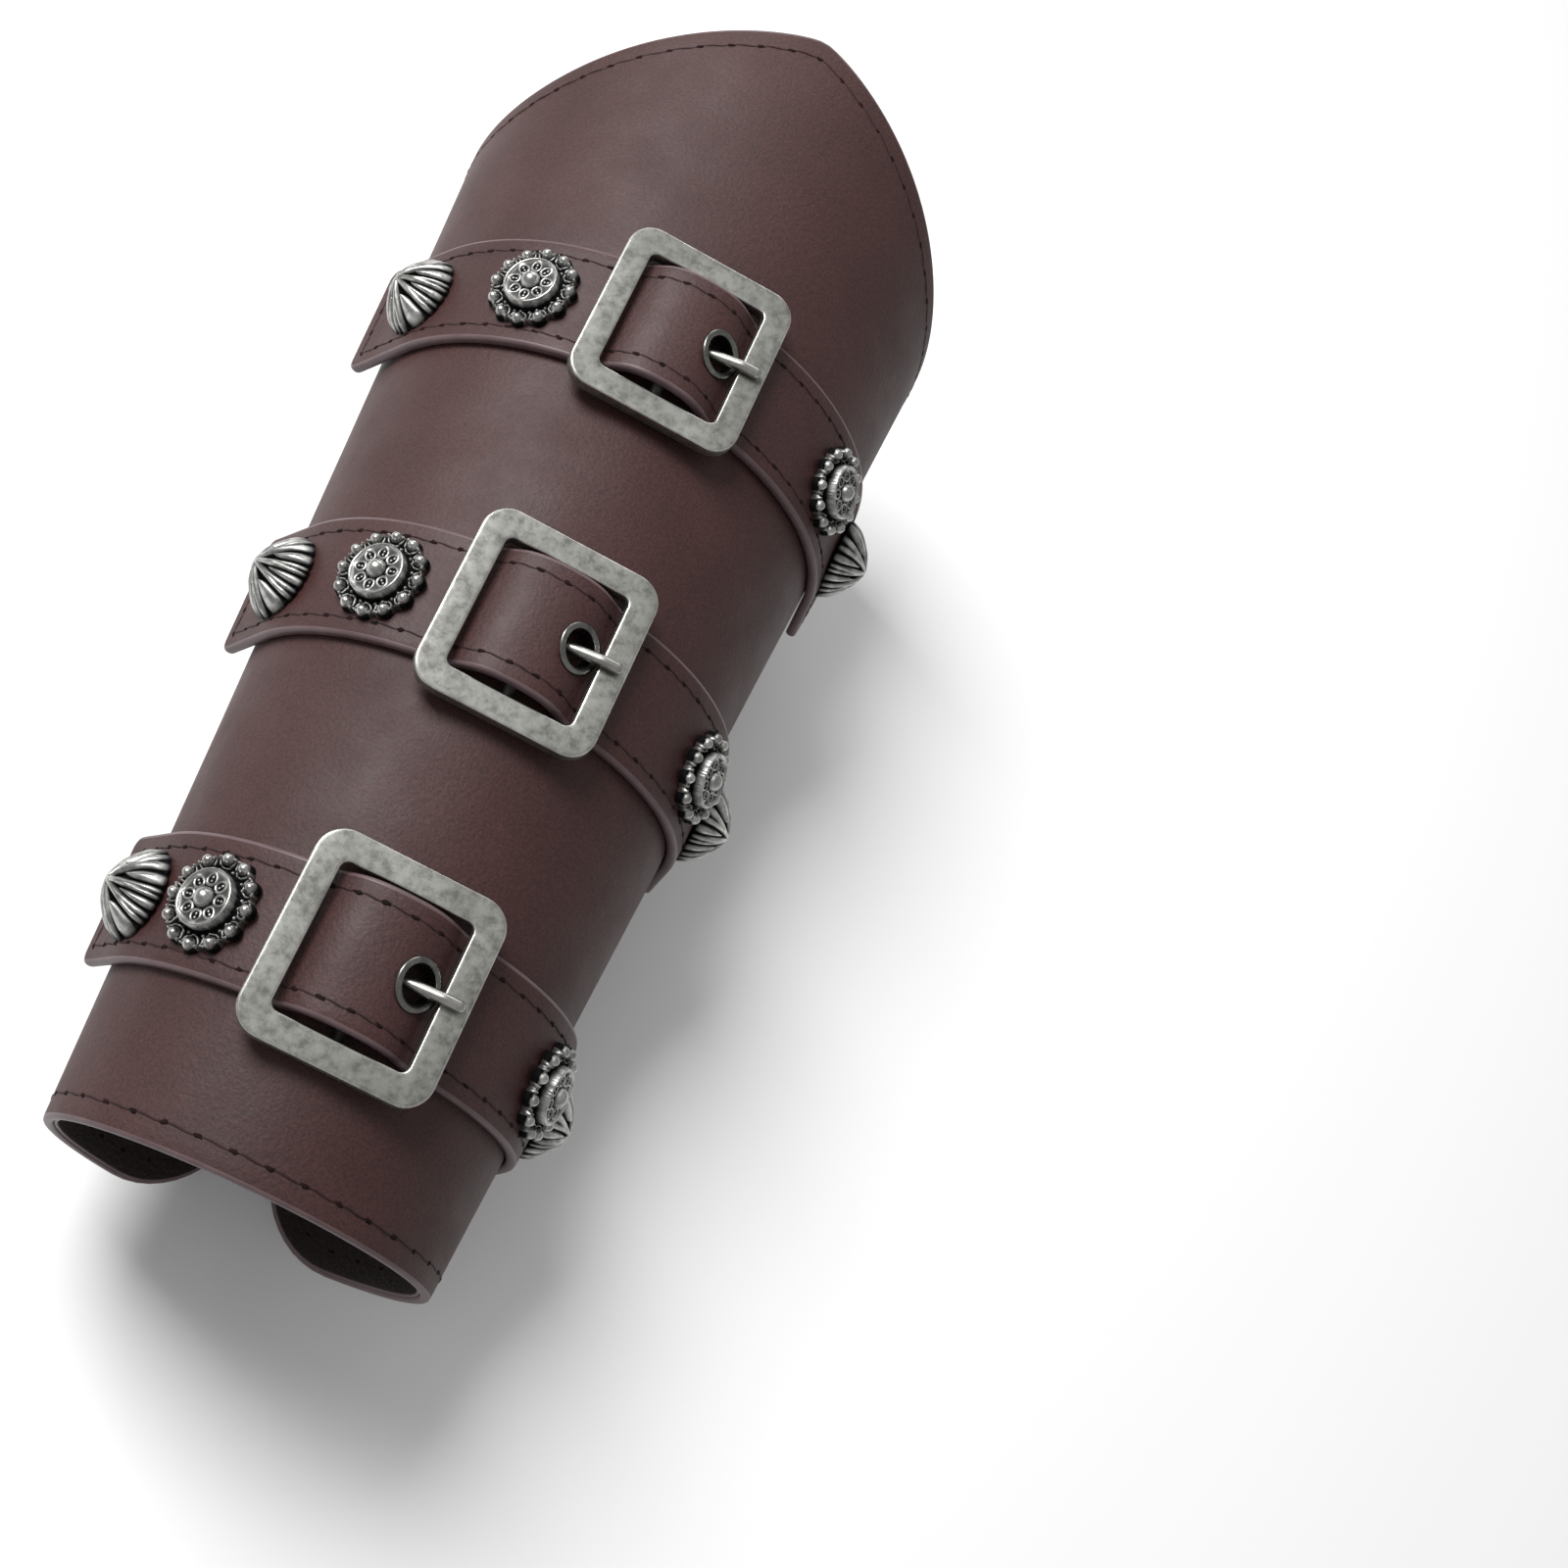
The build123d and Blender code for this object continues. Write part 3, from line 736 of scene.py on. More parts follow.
body_leather = leather_material("body_leather", (0.034, 0.0122, 0.0108), (0.046, 0.0172, 0.0152), 0.60)
strap_leather = leather_material("strap_leather", (0.033, 0.0115, 0.0106), (0.044, 0.0160, 0.0145), 0.56)
lining_leather = leather_material(
    "lining_leather", (0.014, 0.0075, 0.0072), (0.027, 0.0155, 0.015), 0.52, grain=1.6
)
edge_paint = paint_material("edge_paint", (0.078, 0.047, 0.051), (0.108, 0.068, 0.073))
thread_brown = paint_material("thread_brown", (0.014, 0.005, 0.005), (0.030, 0.011, 0.011), 0.7)
# Near-black for the blob at each stitch hole: painted shade where the thread goes into the leather
stitch_hole_shade = paint_material("stitch_hole_shade", (0.006, 0.0025, 0.0025), (0.016, 0.006, 0.006), 0.85)
nickel = metal_material("antique_nickel", (0.165, 0.165, 0.151), (0.42, 0.42, 0.395), 0.41)
# Lighter, glossier nickel for the frame's rounded edges: rubbed wear, and painted highlight lines along the
# edges
worn_and_highlight_nickel = metal_material("worn_and_highlight_nickel", (0.36, 0.355, 0.34), (0.62, 0.61, 0.585), 0.27)
# Near-black nickel for the buckle's bar: painted shade for the dark gap under the frame, where the strap
# loops over the bar
painted_shade_nickel = metal_material("painted_shade_nickel", (0.035, 0.034, 0.032), (0.07, 0.068, 0.065), 0.5)
prong_nickel = metal_material("prong_nickel", (0.27, 0.265, 0.25), (0.46, 0.455, 0.43), 0.30)
gunmetal = metal_material("dark_nickel", (0.13, 0.13, 0.125), (0.25, 0.25, 0.235), 0.25)
old_silver = metal_material(
    "antique_silver", (0.24, 0.24, 0.235), (0.52, 0.515, 0.50), 0.27, (0.010, 0.010, 0.011)
)
braid = lace_material("waxed_braid", (0.005, 0.0035, 0.0035), (0.028, 0.020, 0.020), (0.062, 0.049, 0.048))

# The pointed elbow edge is an arc through three points: x from the crown line, rise from the side edge
edge_points = np.array([
    (0.0, peak_rise),
    (elbow_half_width * peak_shoulder_x_share, peak_rise * peak_shoulder_rise_share),
    (elbow_half_width, 0.0),
])
edge_squares = np.sum(edge_points ** 2, axis=1)
edge_x, edge_rise = np.linalg.solve(
    2 * (edge_points[1:] - edge_points[0]), edge_squares[1:] - edge_squares[0]
)
edge_radius = math.hypot(edge_x, peak_rise - edge_rise)


def crown_edge(x):
    """Distance from the wrist of the pointed elbow edge over the upper half."""
    reach = np.minimum(np.hypot(x, peak_soft), elbow_half_width)
    return side_length + edge_rise + root(edge_radius ** 2 - (reach - edge_x) ** 2)


# The leather panel, unrolled: arcs from the crown line against distance from the wrist
def corner_cut(corner, from_edge):
    """How far a rounded corner keeps back from its edge, by the distance from the other edge."""
    reach = np.clip(corner - from_edge, 0, corner)
    return corner - root(corner ** 2 - reach ** 2)


def panel(inset):
    """Grids of arc and y over the panel, everywhere the inset inside its edge."""
    levels = np.linspace(0, full_length, edge_levels)
    open_levels = np.array([girth_run(level)[-1] for level in levels]) - half_gap(levels) - inset
    open_wrist, open_elbow = np.interp((0.0, side_length), levels, open_levels)
    corner = (wrist_corner - inset) * (1 - np.cos(quarter_turns(corner_columns))) / (2 * open_wrist)
    middle = np.linspace(corner[-1], 1 - corner[-1], body_columns)
    share = np.concatenate([corner[:-1], middle, 1 - corner[-2::-1]])
    from_flap = 2 * np.minimum(share, 1 - share)
    low = inset + corner_cut(wrist_corner - inset, from_flap * open_wrist)
    side_edge = side_length - inset
    flat = side_edge - corner_cut(elbow_corner - inset, from_flap * open_elbow)
    high = np.full(share.shape, side_edge)
    for _ in range(edge_rounds):
        angle = girth_angle((2 * share - 1) * np.interp(high, levels, open_levels), high)
        pointed = crown_edge(half_width(high) * np.sin(angle)) - inset * peak_inset_share
        high = np.where(np.abs(angle) < math.pi / 2, np.maximum(pointed, side_edge), flat)
    y = low + (high - low) * np.linspace(0, 1, body_rows)[:, None]
    return (2 * share - 1) * np.interp(y, levels, open_levels), y


girth_levels = np.linspace(-table_margin, full_length + table_margin, table_levels)
girth_tables = np.array([girth_run(level) for level in girth_levels])


def fast_angle(arc, y):
    """As girth_angle, by interpolation between tabled levels."""
    place = (y - girth_levels[0]) / (girth_levels[1] - girth_levels[0])
    low = place.astype(int)
    found = []
    for reach, k, share in zip(np.abs(arc).ravel(), low.ravel(), (place - low).ravel()):
        run = girth_tables[k] * (1 - share) + girth_tables[k + 1] * share
        found.append(np.interp(reach, run, angle_samples))
    return np.sign(arc) * np.reshape(found, arc.shape)


def carve(obj, form):
    """Cuts a closed form out of an object's mesh and keeps the result."""
    cutter = mesh_object("cutter", to_row(form[0]), form[1])
    tool = obj.modifiers.new("holes", "BOOLEAN")
    tool.operation = "DIFFERENCE"
    tool.solver = "EXACT"
    tool.object = cutter
    bpy.context.view_layer.update()
    carved = bpy.data.meshes.new_from_object(obj.evaluated_get(bpy.context.evaluated_depsgraph_get()))
    obj.modifiers.clear()
    spare = (obj.data, cutter.data)
    obj.data = carved
    bpy.data.objects.remove(cutter)
    for mesh in spare:
        bpy.data.meshes.remove(mesh)


def hole_cutter(radius, reach, place):
    origin, around, along, normal = place
    line = origin + np.array([[reach], [-reach]]) * normal
    return sweep(line, around, along, circle(radius, cutter_sides))


def eyelet_spot(side, number):
    """Arc and y of a lacing eyelet. Side is -1 for the left flap and 1 for the right."""
    y = side_length - first_eyelet_from_side_edge - number * eyelet_pitch
    return side * (half_gap(y) + eyelet_from_flap_edge), y


def flap_eyelets(side):
    return [under_place(*eyelet_spot(side, number)) for number in range(eyelets_per_flap)]


def make_panel(name, node, material, lift, thickness, inset, rounding, waves):
    arc, y = panel(inset + rounding)
    foot, _, _, normal = seats(fast_angle(arc, y), y)
    depth, sizes, seed = waves
    outer = foot + normal * (lift - depth * (1 - wavy(foot, sizes, seed)) / 2)[..., None]
    form, zones = sheet(outer, normal, thickness, rounding)
    obj = make_piece(name, form, [material, edge_paint, material], node, zones=zones)
    places = flap_eyelets(-1) + flap_eyelets(1)
    carve(obj, join([hole_cutter(eyelet_bore / 2 + eyelet_wall, eyelet_bore, place) for place in places]))


def stitch_line(name, line, normals, pitch):
    """A closed thread that dips into a hole at every pitch, with a near-black blob at each hole that is
    painted shade for the stitch hole.
    """
    line, normals = (np.concatenate([rows, rows[:1]]) for rows in (line, normals))
    run = run_of(line)
    places = np.linspace(0, run[-1], round(run[-1] / pitch) * steps_per_stitch + 1)[:-1]
    centre, up = sample(line, run, places), unit(sample(normals, run, places))
    ahead = unit(np.roll(centre, -1, axis=0) - np.roll(centre, 1, axis=0))
    side = unit(np.cross(up, ahead))
    phase = np.arange(len(places))[:, None] * math.pi / steps_per_stitch
    dip = np.abs(np.sin(phase))
    lift = thread_proud * dip - thread_radius * (1 - dip)
    core = centre + up * lift + side * stitch_slant * np.sin(2 * phase)
    forms = [sweep(core, side, up, circle(thread_radius, thread_sides), closed=True)]
    rng = np.random.default_rng(len(places))
    for middle, way, across, out in list(zip(centre, ahead, side, up))[::steps_per_stitch]:
        ragged = hole_radius * (1 + hole_raggedness * rng.uniform(-1, 1, hole_corners))
        rim = circle(1.0, hole_corners) * ragged[:, None] @ np.stack([way * hole_stretch, across])
        rise = out * hole_height
        rings = middle + np.stack([rim - rise, rim * hole_top_share + rise])
        forms.append(capped(rings, middle - rise, middle + rise))
    form = join(forms)
    zones = np.arange(len(form[1])) >= len(forms[0][1])
    make_piece(name, form, [thread_brown, stitch_hole_shade], zones=zones)


def build_body():
    depth, crease = leather_waves[0], lining_creases[0]
    make_panel(
        "leather_guard", "outer_shell", body_leather,
        0.0, leather, 0.0, edge_round, leather_waves,
    )
    make_panel(
        "lining_skin", "lining", lining_leather,
        -leather, lining_thickness - crease, lining_inset, lining_round, lining_creases,
    )
    arc, y = panel(stitch_inset)
    ring = ring_of(*arc.shape)
    foot, _, _, normal = seats(fast_angle(arc[ring], y[ring]), y[ring])
    stitch_line("guard_stitches", foot - normal * depth / 2, normal, stitch_pitch)
    stitch_line("lining_stitches", foot - normal * (total_wall - crease), -normal, stitch_pitch)


# Straps
loop_top = bar_height + bar_radius + prong_fit + prong_ring_wall + clearance


def strap_outline(name, y):
    """Lower outline of a strap across the arm at y, as (x, z) points from left to right."""
    strap = STRAPS[name]
    leave_left = float(girth_angle(-strap["left_shell"], y))
    leave_right = float(girth_angle(strap["right_shell"], y))
    loop = float(girth_angle(loop_start, y))
    top = half_depth(y) + loop_top

    def point(angle):
        x, z = half_width(y) + strap_lift, half_depth(y) + strap_lift
        return np.stack([x * np.sin(angle), z * np.cos(angle)], -1)

    def way(angle):
        return unit([half_width(y) * math.cos(angle), -half_depth(y) * math.sin(angle)])

    left_tip = point(leave_left) - way(leave_left) * (strap["left_end"] - strap["left_shell"])
    right_tip = point(leave_right) + way(leave_right) * (strap["right_end"] - strap["right_shell"])
    bump, ways = clamped_spline([
        point(-loop),
        (-shoulder_x, top - shoulder_drop),
        (0, top),
        (shoulder_x, top - shoulder_drop),
        point(loop),
    ], way(-loop), way(loop), loop_points)
    line = np.concatenate([
        np.linspace(left_tip, point(leave_left), tip_points)[:-1],
        point(np.linspace(leave_left, -loop, left_points))[:-1],
        bump[:-1],
        point(np.linspace(loop, leave_right, right_points))[:-1],
        np.linspace(point(leave_right), right_tip, tip_points),
    ])
    return line, ways[3]


def strap_surface(name, inset):
    """Upper face of a strap as a grid of points and normals, set in from its edges."""
    at = STRAPS[name]["at"]
    corner = max(strap_corner - inset, 0.0)
    start = corner * (1 - np.cos(quarter_turns(strap_corner_columns)))
    ends = []
    for y in (at - strap_width / 2, at + strap_width / 2):
        line, _ = strap_outline(name, y)
        run = run_of(line)
        last = run[-1] - inset
        places = np.linspace(inset + corner, last - corner, strap_columns)
        if corner:
            places = np.concatenate([inset + start[:-1], places, last - start[-2::-1]])
        even = sample(line, run, places)
        ahead = unit(np.gradient(even, places, axis=0))
        top = even + ahead[:, ::-1] * (-strap_thickness, strap_thickness)
        ends.append(np.stack([top[:, 0], np.full(len(places), y), top[:, 1]], -1))
    from_end = np.minimum(places - inset, last - places)
    low = (inset + corner_cut(corner, from_end)) / strap_width
    share = (low + (1 - 2 * low) * np.linspace(0, 1, strap_rows)[:, None])[..., None]
    points = ends[0] * (1 - share) + ends[1] * share
    return points, unit(np.cross(np.gradient(points, axis=1), ends[1] - ends[0]))


def shoulder_seat(name):
    """Seat of the prong's eyelet, on the strap's slope beside the loop's top."""
    y = STRAPS[name]["at"]
    way = unit(strap_outline(name, y)[1])
    lean = np.array([0, 1, crown_slope])
    around = unit(np.cross(lean, [-way[1], 0, way[0]]))
    up = unit(np.cross(around, lean))
    foot = np.array([shoulder_x, y, half_depth(y) + loop_top - shoulder_drop])
    return foot + up * strap_thickness, around, np.cross(up, around), up


def build_strap(name):
    form, zones = sheet(*strap_surface(name, edge_round), strap_thickness, edge_round)
    materials = [strap_leather, edge_paint, strap_leather]
    node = name + "_strap"
    strap = make_piece(node + "_leather", form, materials, node, zones=zones)
    carve(strap, hole_cutter(hole_bore / 2 + hole_wall, strap_width / 4, shoulder_seat(name)))
    points, normals = strap_surface(name, strap_stitch_inset)
    ring = ring_of(*points.shape[:2])
    stitch_line(node + "_stitches", points[ring], normals[ring], strap_stitch_pitch)


# Buckles
def rounded_outline(across, along, corner):
    """Points round a rectangle with rounded corners."""
    points = []
    for quarter, signs in enumerate(((1, 1), (-1, 1), (-1, -1), (1, -1))):
        angle = quarter_turns(frame_corner_points) + quarter * math.pi / 2
        middle = np.array(signs) * (across / 2 - corner, along / 2 - corner)
        points.append(middle + corner * np.stack([np.cos(angle), np.sin(angle)], -1))
    return np.concatenate(points)


def build_frame(name):
    origin, around, along, normal = crown_place(0.0, STRAPS[name]["at"])
    outer = rounded_outline(frame_across, frame_along, frame_corner)
    inner = rounded_outline(frame_across - 2 * frame_bar, frame_along - 2 * frame_bar, frame_inner_corner)
    across = inner - outer
    inward = unit(across)
    soft, low, top = frame_edge_round, frame_height, frame_height + frame_thickness
    turns = quarter_turns(frame_edge_points)
    curve = [(soft * (1 - math.cos(turn)), top - soft + soft * math.sin(turn)) for turn in turns]
    foot = [(0.0, low + soft / 2), (soft / 2, low)]
    marks = [(outer, inward, *mark) for mark in curve]
    marks += [(outer, across, share, top + face_crown * rise) for share, rise in face_shares]
    marks += [(inner, -inward, *mark) for mark in curve[::-1] + foot]
    marks += [(outer, inward, *mark) for mark in foot[::-1]]
    rings = []
    for edge, way, inset, height in marks:
        flat = edge + way * inset
        rings.append(origin + flat[:, :1] * around + flat[:, 1:] * along + height * normal)
    points = np.stack(rings, axis=1)
    ring = outward(points.reshape(-1, 3), grid_faces(*points.shape[:2], wrap=True, closed=True))
    bar_ends = (frame_along - frame_bar) / 2 * np.array([[-1], [1]])
    bar_line = origin + bar_height * normal + bar_ends * along
    bar = sweep(bar_line, around, normal, circle(bar_radius, bar_sides))
    # The rounded edge arcs, outer and inner, get the lighter nickel: rubbed wear and painted highlight lines
    number = np.arange(len(marks))
    edge_faces = len(curve) - 1
    inner_start = len(curve) + len(face_shares)
    bright = (number < edge_faces) | ((number >= inner_start) & (number < inner_start + edge_faces))
    # The bar takes material 2, the near-black nickel that is painted shade for the gap under the frame
    zones = np.concatenate([np.tile(bright, len(outer)), np.full(len(bar[1]), 2)])
    make_piece(
        name + "_frame_metal", join([ring, bar]), [nickel, worn_and_highlight_nickel, painted_shade_nickel],
        name + "_buckle_frame", name + "_buckle", zones=zones,
    )


def build_prong(name):
    """A wire that rises from its ring, bends level and tapers to a tip on the side bar."""
    origin, around, along, normal = crown_place(0.0, STRAPS[name]["at"])
    bore = bar_radius + prong_fit
    ring_outer = bore + prong_ring_wall
    top = frame_height + frame_thickness + prong_radius
    bend = np.array([frame_across / 2 - frame_bar, top])
    tip = np.array([frame_across / 2 - prong_tip_inset, top])
    foot = np.array([ring_outer / 2, bar_height])
    rise = bend - foot
    turn = math.atan2(rise[1], rise[0])
    centre = bend + np.array([prong_bend * math.tan(turn / 2), -prong_bend])
    foot_points, bend_points, end_points = prong_points
    turns = np.linspace(turn, 0, bend_points)
    arc = centre + prong_bend * np.stack([-np.sin(turns), np.cos(turns)], -1)
    line = np.concatenate([
        np.linspace(foot, arc[0], foot_points)[:-1], arc[:-1], np.linspace(arc[-1], tip, end_points),
    ])
    plane = np.stack([around, normal])
    up = np.cross(unit(np.gradient(line, axis=0)) @ plane, along)
    up = up * np.sign(up @ normal)[:, None]
    from_tip = tip[0] - line[:, 0]
    rounded = np.sqrt(np.clip(1 - (1 - from_tip / prong_radius) ** 2, prong_tip_share ** 2, 1))
    radius = prong_radius * np.where(from_tip < prong_radius, rounded, 1.0)
    shank = sweep(origin + line @ plane, along, up, circle(1.0, prong_sides) * radius[:, None, None])
    half, level = prong_ring_width / 2, prong_ring_width / 2 - prong_ring_edge
    profile = ((bore, -half), (ring_outer, -level), (ring_outer, level), (bore, half))
    ring = lathe(profile, origin + bar_height * normal, around, -normal, along, prong_ring_segments)
    make_piece(
        name + "_prong_wire", join([shank, ring]), [prong_nickel],
        name + "_buckle_prong", name + "_prong",
    )


# Eyelets and washers
def flange_profile(bore, outer, flange, thickness, depth, back=()):
    """Closed profile of a rolled eyelet: barrel inside, domed flange outside."""
    middle, half = (bore + flange) / 2, (flange - bore) / 2
    profile = [(bore, -depth)]
    for turn in np.linspace(0, math.pi, flange_points):
        profile.append((middle - half * math.cos(turn), thickness * math.sin(turn) ** flange_fullness))
    profile += [(outer, -flange_lip), *back]
    return profile if back else profile + [(outer, -depth)]


def turned_pieces(name, node, profile, places, segments):
    form = join([lathe(profile, *place, segments) for place in places])
    make_piece(name, form, [gunmetal], node)


def build_strap_eyelet(name):
    bore, flange, back = hole_bore / 2, hole_flange / 2, hole_back_flange / 2
    outer, depth = bore + hole_wall, strap_thickness + hole_back_thickness
    profile = flange_profile(
        bore, outer, flange, hole_flange_thickness, depth,
        ((outer, -strap_thickness), (back, -strap_thickness), (back, -depth)),
    )
    places = [shoulder_seat(name)]
    turned_pieces(name + "_eyelet_metal", name + "_strap_eyelet", profile, places, hole_segments)


def build_eyelets():
    bore, rim = eyelet_bore / 2, washer_diameter / 2
    outer = bore + eyelet_wall
    depth = total_wall + washer_thickness
    profile = flange_profile(bore, outer, eyelet_flange / 2, eyelet_flange_thickness, depth)
    washer = (
        (outer, -total_wall), (rim, -total_wall), (rim, washer_edge_rise - depth),
        (rim - washer_edge_inset, -depth), (outer, -depth),
    )
    for side, side_name in ((-1, "left"), (1, "right")):
        places = flap_eyelets(side)
        turned_pieces("eyelets_" + side_name, "lacing_eyelets_" + side_name, profile, places, eyelet_segments)
        turned_pieces("washers_" + side_name, "eyelet_washers_" + side_name, washer, places, washer_segments)


# Studs: heights over a polar grid on the stud's seat
def polar_stud(node, place, height_at, radius_at, grid):
    origin, around, along, normal = place
    rings, turns = grid
    share = np.linspace(0, 1, rings)[:, None]
    angle = np.linspace(0, 2 * math.pi, turns, endpoint=False)[None]
    radius = share * radius_at(angle)
    height, shade = height_at(radius, angle + 0 * share, share + 0 * angle)
    height[-1] = 0.0
    height[-2] = np.minimum(height[-2], height[-3])
    x, y = radius * np.cos(angle), radius * np.sin(angle)
    points = origin + x[..., None] * around + y[..., None] * along + height[..., None] * normal
    form = capped(points[1:], points[0, 0], origin)
    shades = np.append(shade[1:], (shade[0, 0], 0.0))
    make_piece(node + "_stud", form, [old_silver], node, shades=shades)


def hill(distance, width):
    return np.exp(-(distance / width) ** 2)


def dome(distance, radius):
    return root(1 - (distance / radius) ** 2)


def from_ray(angle, count, offset=0.0):
    """Angle from the nearest of a count of even rays. The offset turns them, in ray steps."""
    turn = 2 * math.pi / count
    return (angle + turn * (0.5 - offset)) % turn - turn / 2


def rosette_radius(angle):
    bead_line = (rosette_diameter - rosette_bead) / 2
    lobe = np.abs(np.cos(rosette_beads * angle / 2)) ** lobe_sharpness
    return bead_line + rosette_bead / 2 * (1 - lobe_share + lobe_share * lobe)


def rosette_face(r, angle):
    """The dished disc with its rim, and a ring of petals drawn in fine lines and dots."""
    disc, boss = rosette_disc / 2, rosette_boss / 2
    rim = hill(r - (disc - rosette_rim / 2), rosette_rim * rim_width_share)
    middle = (disc - rosette_rim + boss) / 2 + petal_shift
    u = (r - middle) / ((disc - rosette_rim - boss) / 2 * petal_length_share)
    v = from_ray(angle, rosette_petals) * r / (middle * math.pi / rosette_petals * petal_width_share)
    dots = sum(hill(np.hypot(u - at, v), width) for at, width in petal_dots)
    line_at, line_width = petal_line
    drawn = np.maximum(hill(np.hypot(u, v) - line_at, line_width), dot_share * dots)
    hollow = (np.hypot(u, v) < hollow_share) & (dots < hollow_between_dots)
    inner = (r < disc - rosette_rim) & (r > boss)
    height = rosette_disc_height - rosette_dish * (1 - rim) + petal_relief * drawn * inner
    shade = face_shade + rim_light * rim - boss_shadow * hill(r - boss - boss_shadow_shift, boss_shadow_width)
    return height, np.where(inner, np.maximum(shade - hollow_shadow * hollow, line_light * drawn), shade)


def rosette_border(r, angle):
    """Small pips round the disc, then linked collars with a ball in each."""
    disc, bead_line = rosette_disc / 2, (rosette_diameter - rosette_bead) / 2
    pip = hill(np.hypot(r - disc - pip_shift, from_ray(angle, rosette_pips) * r), pip_width)
    off = from_ray(angle, rosette_beads)
    distance = np.hypot(r * np.cos(off) - bead_line - ball_shift, r * np.sin(off))
    ball = dome(distance, rosette_bead * ball_share)
    collar = hill(distance - rosette_bead * collar_share, collar_width)
    link = hill(r - bead_line - link_shift, link_width)
    height = border_height + border_step * (r > disc + border_step_at)
    height = height + pip_relief * pip + collar_relief * collar + link_relief * link
    height = np.maximum(height, (border_height + ball_foot) * (ball > 0) + ball_rise * ball)
    shade = np.maximum(np.maximum(collar_light * collar, link_light * link), pip_light * pip)
    return height, np.where(ball > 0, 1 - ball_light * (1 - ball), shade)


def rosette_heights(r, angle, _):
    boss, field = rosette_boss / 2, rosette_disc_height - rosette_dish
    rise = dome(r, boss)
    top = (field + (rosette_boss_height - field) * rise, 1 - boss_light * (1 - rise))
    zones = (r < boss, r < rosette_disc / 2)
    levels = zip(top, rosette_face(r, angle), rosette_border(r, angle))
    return [np.select(zones, (centre, face), border) for centre, face, border in levels]


def shell_ribs(angle, share):
    """Height share of the ribs, forked main ones and short ones between, and of the forks."""
    outer_sway, inner_sway = (size * np.sin(count * angle + start) for size, count, start in sways)
    sway = outer_sway * share + inner_sway * (1 - share)
    reach = shell_stud_diameter / 2 * np.maximum(share, least_share)
    off_main = from_ray(angle + sway, shell_stud_ribs / 2) * reach
    off_short = from_ray(angle + sway, shell_stud_ribs / 2, 0.5) * reach
    beyond = np.clip((share - short_rib_from) / (1 - short_rib_from), 0, 1)
    main = root(1 - np.abs(off_main / (rib_root_width + rib_growth * share)) ** rib_fullness)
    forking = np.clip((share - fork_from) / (fork_full - fork_from), 0, 1)
    fork = hill(off_main, fork_root_width + fork_growth * share) * forking
    short = dome(off_short, short_rib_width * np.sqrt(beyond) + short_rib_least) * (share > short_rib_from)
    knob = 1 - knob_fall * np.clip((share - knob_from) / (1 - knob_from), 0, 1)
    return np.maximum(main - fork_share * fork, short_rib_share * short) * knob, fork


def shell_radius(angle):
    ribs, _ = shell_ribs(angle, np.ones(angle.shape))
    return shell_stud_diameter / 2 * (1 - rim_notch + rim_notch * np.clip(ribs / rim_rib_share, 0, 1))


def shell_heights(r, angle, share):
    ribs, fork = shell_ribs(angle, share)
    full = shell_height_share * shell_stud_height
    inner_power, outer_power = bowl_powers
    bowl = full * np.maximum(1 - (share * bowl_share) ** inner_power, 0) ** outer_power
    groove = shell_groove * np.clip(share * groove_growth, 0, 1) * (1 - groove_fall * share)
    tip = hill(r, shell_tip_width)
    height = bowl - groove * (1 - ribs) + shell_tip_relief * tip
    shade = rib_light * ribs - groove_shadow - fork_shadow * fork + tip_light * tip
    return np.clip(height, shell_least_height, full), np.clip(shade, 0, 1)


def build_studs(name):
    for stud in STUDS:
        side, kind = stud.split("_")
        arc = STRAPS[name][stud] * (-1 if side == "left" else 1)
        place = crown_place(arc, STRAPS[name]["at"], strap_lift + strap_thickness)
        if kind == "shell":
            polar_stud(name + "_" + stud, place, shell_heights, shell_radius, shell_grid)
        else:
            polar_stud(name + "_" + stud, place, rosette_heights, rosette_radius, rosette_grid)


# Lace: one flat braid through all eyelets, along the stations of the CAD ribbons
half_lace = lace_thickness / 2
lift_on_leather = lace_gap + half_lace
lift_at_edge = lift_on_leather + lace_gap
flange_stand = (eyelet_flange / 2) ** 2 / (2 * wrist_half_depth)
lift_on_flange = eyelet_flange_thickness + flange_stand + lift_on_leather
lift_inside = -(total_wall + lift_on_leather)
lift_under_washer = lift_inside - washer_thickness - lace_gap
lift_under_lace = lift_under_washer - lace_thickness - lace_gap
lift_of_tail = lift_under_lace - aglet_wall - lace_gap
lift_over_lace = lift_on_flange + lace_thickness + lace_gap
lift_mid_barrel = -total_wall / 2
lift_below_barrel = -(total_wall + washer_thickness)
in_barrel = (lift_mid_barrel, lace_in_eyelet)
below_barrel = (lift_below_barrel, lace_in_eyelet)
at_washer = (lift_under_washer, lace_in_eyelet)
under_washer = (lift_under_washer, lace_width)
under_lace = (lift_under_lace, lace_width)


def between(start, end, share):
    return (start[0] + (end[0] - start[0]) * share, start[1] + (end[1] - start[1]) * share)


def stretch(start, end, marks, dives=False, beyond=None):
    """Stations from start to end, each with its place, lift, width, heading and dive."""
    beyond = beyond or between(start, end, 2)
    return [
        (between(start, end, share), lift, width, end if share < 1 else beyond, dives)
        for share, lift, width in marks
    ]


def over_flap(start, edge, shares, high):
    """Up out of an eyelet and over the leather towards the gap."""
    rim, spread, level = shares
    return stretch(start, edge, (
        (0, *in_barrel),
        (0, eyelet_flange_thickness, lace_in_eyelet),
        (rim, lift_on_flange * rim_lift_share, lace_in_eyelet),
        (spread, high, lace_width),
        (level, high, lace_width),
    ))


def through_gap(start, end, width, low):
    near, far = gap_shares
    return stretch(start, end, (
        (0, lift_at_edge, width),
        (near, lift_at_edge - half_lace, width),
        (far, low + half_lace, width),
        (1, low, width),
    ), dives=True)


